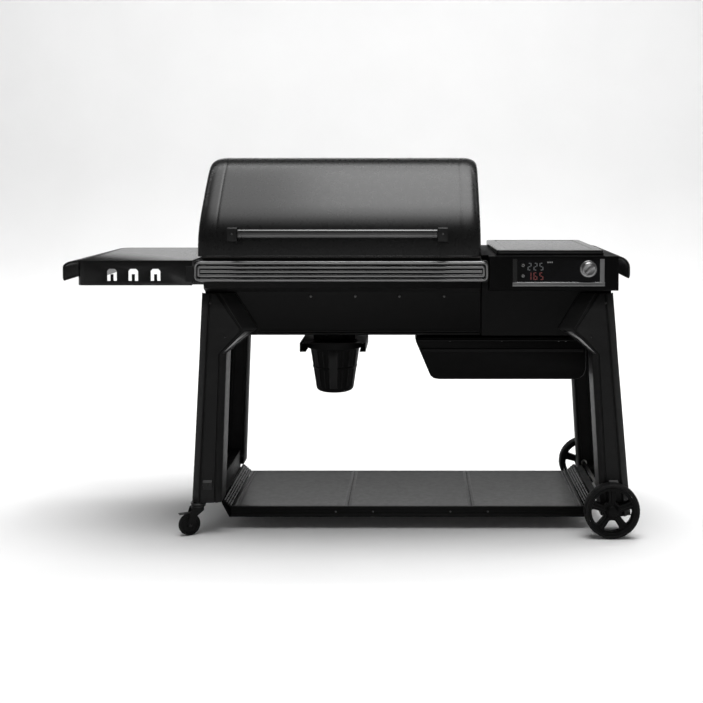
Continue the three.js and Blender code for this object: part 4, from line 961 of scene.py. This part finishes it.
def leg(name, s, foot, outer, inner, tip, top_inner, mirror):
    """A folded sheet leg with a pressed line beside each front edge, spreading into a gusset at the top."""
    fy, back, panel, top = -262.0, -172.0, -236.3, 778.0
    c, d, g = 23, 14, 2.8
    rows = []

    def section(z, crease, ky, kx, last, deep, wide):
        o = outer(z)
        pts = [(o, deep), (o, fy + c), (o - s * c, fy),
               (o - s * (c + 3), fy), (o - s * (c + 4.5), fy + g), (o - s * (c + 7.5), fy + g), (o - s * (c + 9), fy),
               (crease + s * (6 + wide), fy), (crease + s * (4.5 + wide), fy + g), (crease + s * 4.5, fy + g), (crease + s * 3, fy),
               (crease, fy), (kx, ky), last]
        return [(x, y, z) for x, y in soften(pts, [0, 5, 5, 0, 0, 0, 0, 0, 0, 0, 0, 2.5, 3, 0])]

    for z in (foot, foot + 40, 180, 260, 340, 420, 500, 560, 586):
        i = inner(z)
        rows.append(section(z, i + s * d, fy + 10, i, (i, back), back, 3))
    ti = inner(590)
    rows.append(section(604, ti - s * 2, fy + 15, ti - s * 22, (ti - s * 22, -205), back, 3))
    rows.append(section(632, ti - s * 29, fy + 20, ti - s * 58, (ti - s * 58, panel), panel + 0.2, 4))
    rows.append(section(656, tip + s * 7, fy + 22, tip - s * 28, (tip - s * 28, panel), panel + 0.2, 5))
    rows.append(section(664, tip + s * 5, fy + 22, tip - s * 37, (tip - s * 37, panel), panel + 0.2, 6))
    rows.append(section(672, tip + s * 9, fy + 22, tip - s * 34, (tip - s * 34, panel), panel + 0.2, 6))
    for f in (0.5, 1.0):
        z = 672 + (top - 672) * f
        a = tip + s * 9 + (top_inner - s * 24 - tip - s * 9) * f
        b = tip - s * 34 + (top_inner - s * 66 - tip + s * 34) * f
        rows.append(section(z, a, fy + 22, b, (b, panel), panel + 0.2, 6 + 7 * f))
    k = -1 if mirror else 1
    bm = bmesh.new()
    vs = [[bm.verts.new(P(x, y * k, z)) for x, y, z in r] for r in rows]
    for a, b in zip(vs, vs[1:]):
        for j in range(len(a) - 1):
            bm.faces.new((a[j], a[j + 1], b[j + 1], b[j]))
    bmesh.ops.remove_doubles(bm, verts=bm.verts, dist=1e-6)
    bm.normal_update()
    bmesh.ops.recalc_face_normals(bm, faces=bm.faces)
    probe = max(bm.faces, key=lambda f: abs(f.normal.y) * f.calc_area())
    if probe.normal.y * k > 0:
        bmesh.ops.reverse_faces(bm, faces=bm.faces)
    me = bpy.data.meshes.new(name + "_folded")
    bm.to_mesh(me)
    bm.free()
    ob = wrap(name + "_folded", me, "leg", "stand", 24)
    thick(ob, 1.6)
    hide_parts(name)
    # painted highlight: a strip of bright metal laid just outside the gusset's lower bevel, standing in for the light
    # it catches
    out = Vector((-s * 0.55, -0.65, -0.5)).normalized() * 0.5
    edge = []
    for r in rows[8:12]:
        pa, pb = Vector(r[-6]), Vector(r[-5])
        for f in (0.14, 0.86):
            q = pa + (pb - pa) * f + out
            edge.append(P(q.x, q.y * k, q.z))
    e = faces(name + "_gusset_painted_highlight", edge, [(2 * j, 2 * j + 1, 2 * j + 3, 2 * j + 2) for j in range(3)], "rail", "stand", 30)
    thick(e, 0.8, 0)
    # pressed step above the foot, foot plate and bolts
    x_a, x_b = sorted((inner(foot), outer(foot)))
    step_z = 171
    xs = sorted((inner(step_z) + s * (d + 16), outer(step_z) - s * (c + 14)))
    pts = [((fy + 0.3) * k, step_z + 9), ((fy - 7.4) * k, step_z + 1), ((fy - 8.0) * k, step_z - 1), ((fy - 7.4) * k, step_z - 4), ((fy - 3.2) * k, step_z - 14), ((fy + 0.3) * k, step_z - 24)]
    bevel(prism(name + "_step", pts, "x", xs[0], xs[1], "hood", "stand"), 0.5, 2)
    ys = sorted(((fy + 10) * k, (back - 1) * k))
    rbox(name + "_foot", x_a + 2, ys[0], foot + 0.4, x_b - 2, ys[1], foot + 3.4, "leg", "stand", 0.8, 2)
    items = [(tip + s * 62, fy * k, 640, "y", -k, 3.8), (tip + s * 108, fy * k, 748, "y", -k, 3.8)]
    screws(name + "_screws", items, "dark", "stand")


LF = (lambda z: -464 - (790 - z) * 0.057, lambda z: -386 - (590 - z) * 0.0413)
RF = (lambda z: 846 + (790 - z) * 0.088, lambda z: 778 + (590 - z) * 0.0637)
leg("leg_front_left", -1, 106, *LF, -326, -425, False)
leg("leg_rear_left", -1, 106, *LF, -326, -425, True)
leg("leg_front_right", 1, 62, *RF, 712, 807, False)
leg("leg_rear_right", 1, 62, *RF, 712, 807, True)


# ------------------------------------------------------------------ bottom shelf
def bottom():
    fb = B("bottom_shelf_frame")
    px = B("shelf_panel_left")
    qx = B("shelf_panel_right")
    y0, y1, lip, rim = fb[1], fb[4], fb[2], fb[5]
    xa, xb, top = px[0] - 0.6, qx[3] + 0.6, px[5]
    # front and back lips: C-section with two pressed lines
    for nm, ya, sg in (("front", y0, 1), ("back", y1, -1)):
        pts = [(ya + sg * 20, lip), (ya + sg * 1.5, lip), (ya, lip + 2), (ya, lip + 11), (ya + sg * 1.4, lip + 12.2), (ya + sg * 1.4, lip + 14), (ya, lip + 15.2),
               (ya, lip + 21), (ya + sg * 1.4, lip + 22.2), (ya + sg * 1.4, lip + 24), (ya, lip + 25.2), (ya, top - 3), (ya + sg * 1.2, top - 1.2), (ya + sg * 3.2, top - 1.0)]
        n = len(pts)
        verts = [P(xa - 3, y, z) for y, z in pts] + [P(xb + 3, y, z) for y, z in pts]
        o = faces("shelf_lip_" + nm, verts, [(i, i + 1, n + i + 1, n + i) for i in range(n - 1)], "body", "stand", 40)
        thick(o, 1.4, 0)
    # flared side rails with grooves that run front to back
    for nm, xe, sg in (("left", xa, -1), ("right", xb, 1)):
        pts = [(xe, top - 2), (xe + sg * 2, top - 0.5)]
        a, b = Vector((xe + sg * 2, top - 0.5)), Vector((xe + sg * 27, rim - 1))
        d = (b - a).normalized()
        nr = Vector((-d.y, d.x)) * sg
        nr = nr if nr.y > 0 else -nr
        for k in range(4):
            f = 0.06 + k * 0.235
            for e, h in ((0.0, 0), (0.025, -3.6), (0.095, -3.6), (0.12, 0)):
                pts.append(tuple(a + (b - a) * (f + e) + nr * h))
        pts += [(xe + sg * 27, rim - 1), (xe + sg * 29, rim), (xe + sg * 31, rim - 0.6), (xe + sg * 32, rim - 3), (xe + sg * 31.5, rim - 12), (xe + sg * 8, lip + 1), (xe + sg * 6, lip), (xe + sg * 1, lip)]
        n = len(pts)
        verts = [P(x, y0, z) for x, z in pts] + [P(x, y1, z) for x, z in pts]
        o = faces("shelf_side_" + nm, verts, [(i, i + 1, n + i + 1, n + i) for i in range(n - 1)], "body", "stand", 28)
        thick(o, 1.4, 0)
        for j in range(4):
            q = a + (b - a) * (0.12 + j * 0.25) + nr * 0.8
            tube("shelf_rib_%s_%d" % (nm, j), [(q.x, y0 + 1.5, q.y), (q.x, 0, q.y), (q.x, y1 - 1.5, q.y)], 2.5, "hood", "stand")
        # a flange from the rail's rim towards the legs' cross members
        fl = prism("shelf_flange_" + nm, [(xe + sg * 30, rim - 5), (xe + sg * 31, rim - 1), (xe + sg * 50, rim + 9), (xe + sg * 51, rim + 7.5), (xe + sg * 33, rim - 4)], "y", -168, 168, "body", "stand")
        # two pressed beads in the deck beside each rail
        for j, off in enumerate((9, 19)):
            xx = xe - sg * off
            tube("deck_bead_%s_%d" % (nm, j), [(xx, y0 + 8, top - 0.2), (xx, y1 - 8, top - 0.2)], 1.9, "deck", "stand")
    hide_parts("bottom_shelf_frame")
    # panels: pans with a soft crowned border
    for nm in ("left", "middle", "right"):
        x0, ya, z0, x1, yb, z1 = B("shelf_panel_" + nm)
        bm = bmesh.new()
        rings = []
        for dd, z in ((0.4, z1 - 2), (0.4, z1 - 0.8), (1.2, z1), (9, z1), (11, z1 - 1.1), (13, z1 - 1.4)):
            rings.append([bm.verts.new(P(x, y, z)) for x, y in ((x0 + dd, ya + dd), (x1 - dd, ya + dd), (x1 - dd, yb - dd), (x0 + dd, yb - dd))])
        for a, b in zip(rings, rings[1:]):
            for k in range(4):
                bm.faces.new((a[k], a[(k + 1) % 4], b[(k + 1) % 4], b[k]))
        bm.faces.new(rings[-1])
        o = obj("deck_%s" % nm, bm, "deck", "stand", 20)
        thick(o, 1.0)
        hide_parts("shelf_panel_" + nm)
    for j, x in enumerate((-4, 400)):
        rbox("deck_joint_%d" % j, x - 9, y0 + 3, top - 4.6, x + 9, y1 - 3, top - 2.4, "leg", "stand", 0.4, 1)
    screws("lip_screws", [(x, y0, 58, "y", -1, 3.4) for x in (-43, 78, 330, 452)] + [(x, y1, 58, "y", 1, 3.4) for x in (-43, 78, 330, 452)], "screw", "stand")


bottom()


# ------------------------------------------------------------------ wheels
def wheels():
    for side, sg in (("front", -1), ("rear", 1)):
        x0, y0, z0, x1, y1, z1 = B("wheel_" + side)
        c = ((x0 + x1) / 2, (y0 + y1) / 2, (z0 + z1) / 2)
        holes = []
        for i in range(5):
            a = math.pi / 2 + (i + 0.5) * 0.4 * math.pi
            tri = []
            for t in (-0.43, -0.22, 0, 0.22, 0.43):
                tri.append((65 * math.cos(a + t), 65 * math.sin(a + t)))
            tri += [(31 * math.cos(a + 0.28), 31 * math.sin(a + 0.28)), (31 * math.cos(a - 0.28), 31 * math.sin(a - 0.28))]
            holes.append([(c[0] + p[0], c[2] + p[1]) for p in round_poly(tri, [7, 0, 0, 0, 7, 6, 6], 5)])
        o = flat("spoke_disc_" + side, circle(74, 72, c[0], c[2]), holes, "y", c[1] - 10, c[1] + 10, "wheel", side + "_wheel", 2.4)
        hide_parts("wheel_" + side)
        lathe("rim_" + side, [(66.5, -12), (67.5, -14.5), (72, -15.5), (76, -14.5), (76, 14.5), (72, 15.5), (67.5, 14.5), (66.5, 12), (66.5, -12)], "y", c, "wheel", side + "_wheel", 72)
        hub = [(0, sg * 17), (9, sg * 17), (14, sg * 16), (19, sg * 14.5), (21.5, sg * 12), (23, sg * 8), (24, -sg * 11), (22, -sg * 14), (9, -sg * 15), (7, -sg * 15), (7, sg * 10), (0, sg * 10)]
        lathe("hub_" + side, hub[:-2] + [(7, sg * 10), (0, sg * 10)], "y", c, "wheel", side + "_wheel", 48)
        cap = [(0, sg * 23.6), (11, sg * 23.4), (15, sg * 22.2), (17.5, sg * 19.4), (18.5, sg * 15.2), (16.8, sg * 15.2), (15.6, sg * 18.6), (12, sg * 20.6), (0, sg * 20.9)]
        lathe("hub_cap_" + side, cap, "y", c, "wheel", side + "_wheel", 40)
        # spoke ribs
        ribs = bmesh.new()
        for i in range(5):
            a = math.pi / 2 + i * 0.4 * math.pi
            u, v = Vector((math.cos(a), math.sin(a))), Vector((-math.sin(a), math.cos(a)))
            ring = []
            for r, w, h in ((21, 4.6, 13), (44, 3.6, 12.2), (66, 5.2, 12.6)):
                row = []
                for q, hh in ((-w, 9.5), (-w * 0.6, h), (w * 0.6, h), (w, 9.5)):
                    p = u * r + v * q
                    row.append(ribs.verts.new(P(c[0] + p.x, c[1] + sg * hh, c[2] + p.y)))
                ring.append(row)
            for p, q in zip(ring, ring[1:]):
                for k in range(3):
                    ribs.faces.new((p[k], p[k + 1], q[k + 1], q[k]))
                ribs.faces.new((p[0], q[0], q[3], p[3]))
            ribs.faces.new(ring[0])
            ribs.faces.new(ring[-1][::-1])
        obj("spoke_ribs_" + side, ribs, "wheel", side + "_wheel", 25)
        tx0, ty0, tz0, tx1, ty1, tz1 = B("tyre_" + side)
        R, W = (tx1 - tx0) / 2, (ty1 - ty0) / 2
        def tread(a, r, t):
            k = (a * 48 / (2 * math.pi)) % 1.0
            return -1.3 if (r > R - 1.4 and abs(t) > 5 and k < 0.25) else 0
        prof = [(76.5, -W + 3), (80, -W + 0.4), (84, -W), (86.4, -W + 2), (R - 0.9, -W + 5), (R - 0.2, -8), (R - 0.1, -5.4), (R - 1.2, -4.8), (R - 1.2, -3.6), (R, -3), (R, 3), (R - 1.2, 3.6), (R - 1.2, 4.8), (R - 0.1, 5.4), (R - 0.2, 8), (R - 0.9, W - 5), (86.4, W - 2), (84, W), (80, W - 0.4), (76.5, W - 3), (76.5, -W + 3)]
        t = lathe("tread_" + side, prof, "y", c, "tyre", side + "_wheel", 192, 28, tread)
        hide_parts("tyre_" + side)


wheels()


def casters():
    for side, sg in (("front", -1), ("rear", 1)):
        cx0, cy0, cz0, cx1, cy1, cz1 = B("caster_wheel_" + side)
        wc = Vector(((cx0 + cx1) / 2, (cy0 + cy1) / 2))
        pivot = Vector((-482.0, sg * 240.0))
        d = (wc - pivot)
        trail = d.length
        turn = math.atan2(-d.y, -d.x)  # direction of +X in the swivel's frame
        def place(o):
            ca, sa = math.cos(turn), math.sin(turn)
            for v in o.data.vertices:
                x, y = v.co.x * 1000 - OX, v.co.y * 1000 - OY
                q = P(pivot.x + ca * x - sa * y, pivot.y + sa * x + ca * y, 0)
                v.co.x, v.co.y = q.x, q.y
            return o
        f, w = side + "_caster_fork", side + "_caster_wheel"
        r = 34.5
        plate = [(14, 90), (-24, 90), (-30, 74), (-trail - 9, r + 3), (-trail - 7, r - 6), (-trail, r - 9.5), (-trail + 8, r - 5), (-8, 62), (14, 78)]
        for i, (a, b) in enumerate(((-15.2, -12.4), (12.4, 15.2))):
            place(flat("caster_cheek_%s_%d" % (side, i), round_poly(plate, 4, 4), [], "y", a, b, "leg", f, 0.5))
        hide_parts("caster_fork_" + side)
        place(bevel_apply(rbox("caster_bridge_" + side, -24, -15, 84, 14, 15, 90, "leg", f, 1.5, 3)))
        place(lathe("caster_race_" + side, [(0, 89), (21, 89), (22.5, 91), (22.5, 93.5), (20, 94.6), (20, 95.4), (24, 96.2), (24.5, 98), (24.5, 101.5), (23, 103), (0, 103)], "z", (0, 0, 0), "dark", f, 48))
        place(lathe("caster_stem_" + side, [(6.4, 102), (6.4, 126), (5, 128), (0, 128)], "z", (0, 0, 0), "dark", f, 24))
        place(bevel_apply(rbox("caster_brake_" + side, -trail - 34, -8, 70, -22, 8, 73.2, "plastic", f, 1.2, 3)))
        tyre = [(0, -7.5), (9, -7.5), (11, -9.5), (22, -9.5), (24, -8), (26, -8), (27, -9.8), (31, -9.8), (33.6, -7.6), (34.5, -4), (34.5, 4), (33.6, 7.6), (31, 9.8), (27, 9.8), (26, 8), (24, 8), (22, 9.5), (11, 9.5), (9, 7.5), (0, 7.5)]
        o = place(lathe("caster_roller_" + side, tyre, "y", (-trail, 0, r), "tyre", w, 64))
        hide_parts("caster_wheel_" + side)
        place(screws("caster_bolt_" + side, [(-trail, -15.2, r, "y", -1, 5), (-trail, 15.2, r, "y", 1, 5)], "dark", f))


def bevel_apply(o):
    """Fixes the bevel into the mesh, so that the mesh can be turned in place."""
    bpy.context.view_layer.update()
    me = bpy.data.meshes.new_from_object(o.evaluated_get(bpy.context.evaluated_depsgraph_get()))
    o.modifiers.clear()
    old = o.data
    o.data = me
    bpy.data.meshes.remove(old)
    return o


casters()


# ------------------------------------------------------------------ side shelf and end handles
keep("side_shelf", "shelf", 0.7, 2, 24)


def handles():
    x0, y0, z0, x1, y1, z1 = B("side_handle_left")
    path = smooth_path([(-850.6, 881.3), (-864, 880), (-877, 876.5), (-886, 871), (-890, 864), (-890.5, 845), (-890.5, 831), (-889, 824.5)], 5)
    o = strip("left_pull_handle", path, 7, "y", y0, y1, "grip", "side_shelf", 1.6)
    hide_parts("side_handle_left")
    x0, y0, z0, x1, y1, z1 = B("side_handle_right")
    path = smooth_path([(856.6, 894), (868, 891.6), (878, 884.6), (885, 875), (888, 864), (888.4, 848), (888.2, 838), (886.6, 832)], 5)
    o = strip("right_pull_handle", path, 7, "y", y0, y1, "grip", "stand", 1.6)
    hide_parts("side_handle_right")


handles()

screws("front_screws", [(x, -235, 766, "y", -1, 4.2) for x in (-118, 24, 165, 308)] + [(-422, -235, 799, "y", -1, 4.6), (-286, -235, 801, "y", -1, 4.2)], "screw", "stand")
for i, z in enumerate((655, 647)):
    prism("chamber_hem_%d" % i, [(-234.6, z + 2.6), (-236.4, z + 1.6), (-237.0, z), (-236.4, z - 1.6), (-234.6, z - 2.6)], "x", -280, 421, "body", "stand")
rbox("shelf_gap_cover", -485.2, -262, 812, -470, -236, 880, "plastic", "stand", 2, 3)
screws("hopper_screws", [(x, 222, z, "y", 1, 3.6) for x, z in ((444, 880), (840, 880), (444, 656), (840, 656), (642, 880))], "screw", "stand")
screws("duct_screws", [(x, 302, z, "y", 1, 3.6) for x, z in ((-270, 820), (270, 820), (-270, 690), (270, 690))], "screw", "stand")
tube("chamber_seam", [(425.5, -235.5, 645), (425.5, -235.5, 778)], 0.8, "body", "stand")

# ------------------------------------------------------------------ stage, light and camera
def stage():
    bm = bmesh.new()
    prof = [(-12, 0), (-4, 0), (0, 0), (3.0, 0)]
    for k in range(1, 13):
        a = math.radians(90 * k / 12)
        prof.append((3.0 + 1.3 * math.sin(a), 1.3 - 1.3 * math.cos(a)))
    prof.append((4.3, 2.75))
    rows = [[bm.verts.new((x, y, z)) for y, z in prof] for x in (-12, -3, 0, 3, 12)]
    for a, b in zip(rows, rows[1:]):
        for i in range(len(prof) - 1):
            bm.faces.new((a[i], b[i], b[i + 1], a[i + 1]))
    me = bpy.data.meshes.new("studio_sweep")
    bmesh.ops.recalc_face_normals(bm, faces=bm.faces)
    bm.to_mesh(me)
    bm.free()
    me.polygons.foreach_set("use_smooth", [True] * len(me.polygons))
    o = bpy.data.objects.new("studio_sweep", me)
    SC.collection.objects.link(o)
    m, nt, b, tc = _new("studio_paper")
    nt.links.new(_ramp(nt, _noise(nt, tc, 2, 2), [(0.3, (0.80,) * 3), (0.7, (0.82,) * 3)]), b.inputs["Base Color"])
    b.inputs["Roughness"].default_value = 0.95
    b.inputs["Specular IOR Level"].default_value = 0.2
    me.materials.append(m)


stage()


def light(name, loc, target, size, power, size_y=None):
    l = bpy.data.lights.new(name, "AREA")
    l.shape = "RECTANGLE"
    l.size, l.size_y = size, size_y or size
    l.energy = power
    o = bpy.data.objects.new(name, l)
    SC.collection.objects.link(o)
    o.location = loc
    o.rotation_euler = (Vector(target) - Vector(loc)).to_track_quat("-Z", "Y").to_euler()
    return o


light("overhead_soft", (0.42, -0.2, 3.2), (0.42, -0.15, 0.6), 1.6, 30, 0.9)
light("backdrop_wash", (0, 0.9, 3.7), (0, 4.3, 0.7), 7.0, 125, 0.7)
light("low_strip", (0.2, -2.3, 0.12), (0.2, 0, 0.62), 2.2, 4, 0.16)

# a bright patch straight up, dim round it, and pale at the horizon on every side
w = bpy.data.worlds.new("studio")
w.use_nodes = True
wt = w.node_tree
bg = wt.nodes["Background"]
wc = wt.nodes.new("ShaderNodeTexCoord")
sep = wt.nodes.new("ShaderNodeSeparateXYZ")
wt.links.new(wc.outputs["Generated"], sep.inputs[0])
wr = wt.nodes.new("ShaderNodeMapRange")
wr.inputs["From Min"].default_value = -0.2
wr.inputs["From Max"].default_value = 1.0
wt.links.new(sep.outputs["Z"], wr.inputs["Value"])
wt.links.new(_ramp(wt, wr.outputs["Result"], [(0.0, (0.058,) * 3), (0.24, (0.058,) * 3), (0.38, (0.016,) * 3), (0.905, (0.014,) * 3), (0.96, (0.8,) * 3), (1.0, (0.8,) * 3)]), bg.inputs["Color"])
bg.inputs["Strength"].default_value = 7.0
SC.world = w
SC.view_settings.view_transform = "Standard"

cam = bpy.data.cameras.new("camera")
PITCH = math.radians(2.5)
FPX = 1019 * 1.0085
cam.lens = FPX * 36 / 703
cam.sensor_width = 36
cam.clip_end = 60
cam.shift_x = -(415 - 351.5) / 703
cam.shift_y = -(351.5 - 172.3) / 703 + math.tan(PITCH) * FPX / 703
co = bpy.data.objects.new("camera", cam)
co.location = (0.1975, -3.485, 1.162)
co.rotation_euler = (math.radians(90) - PITCH, 0, 0)
SC.collection.objects.link(co)
SC.camera = co
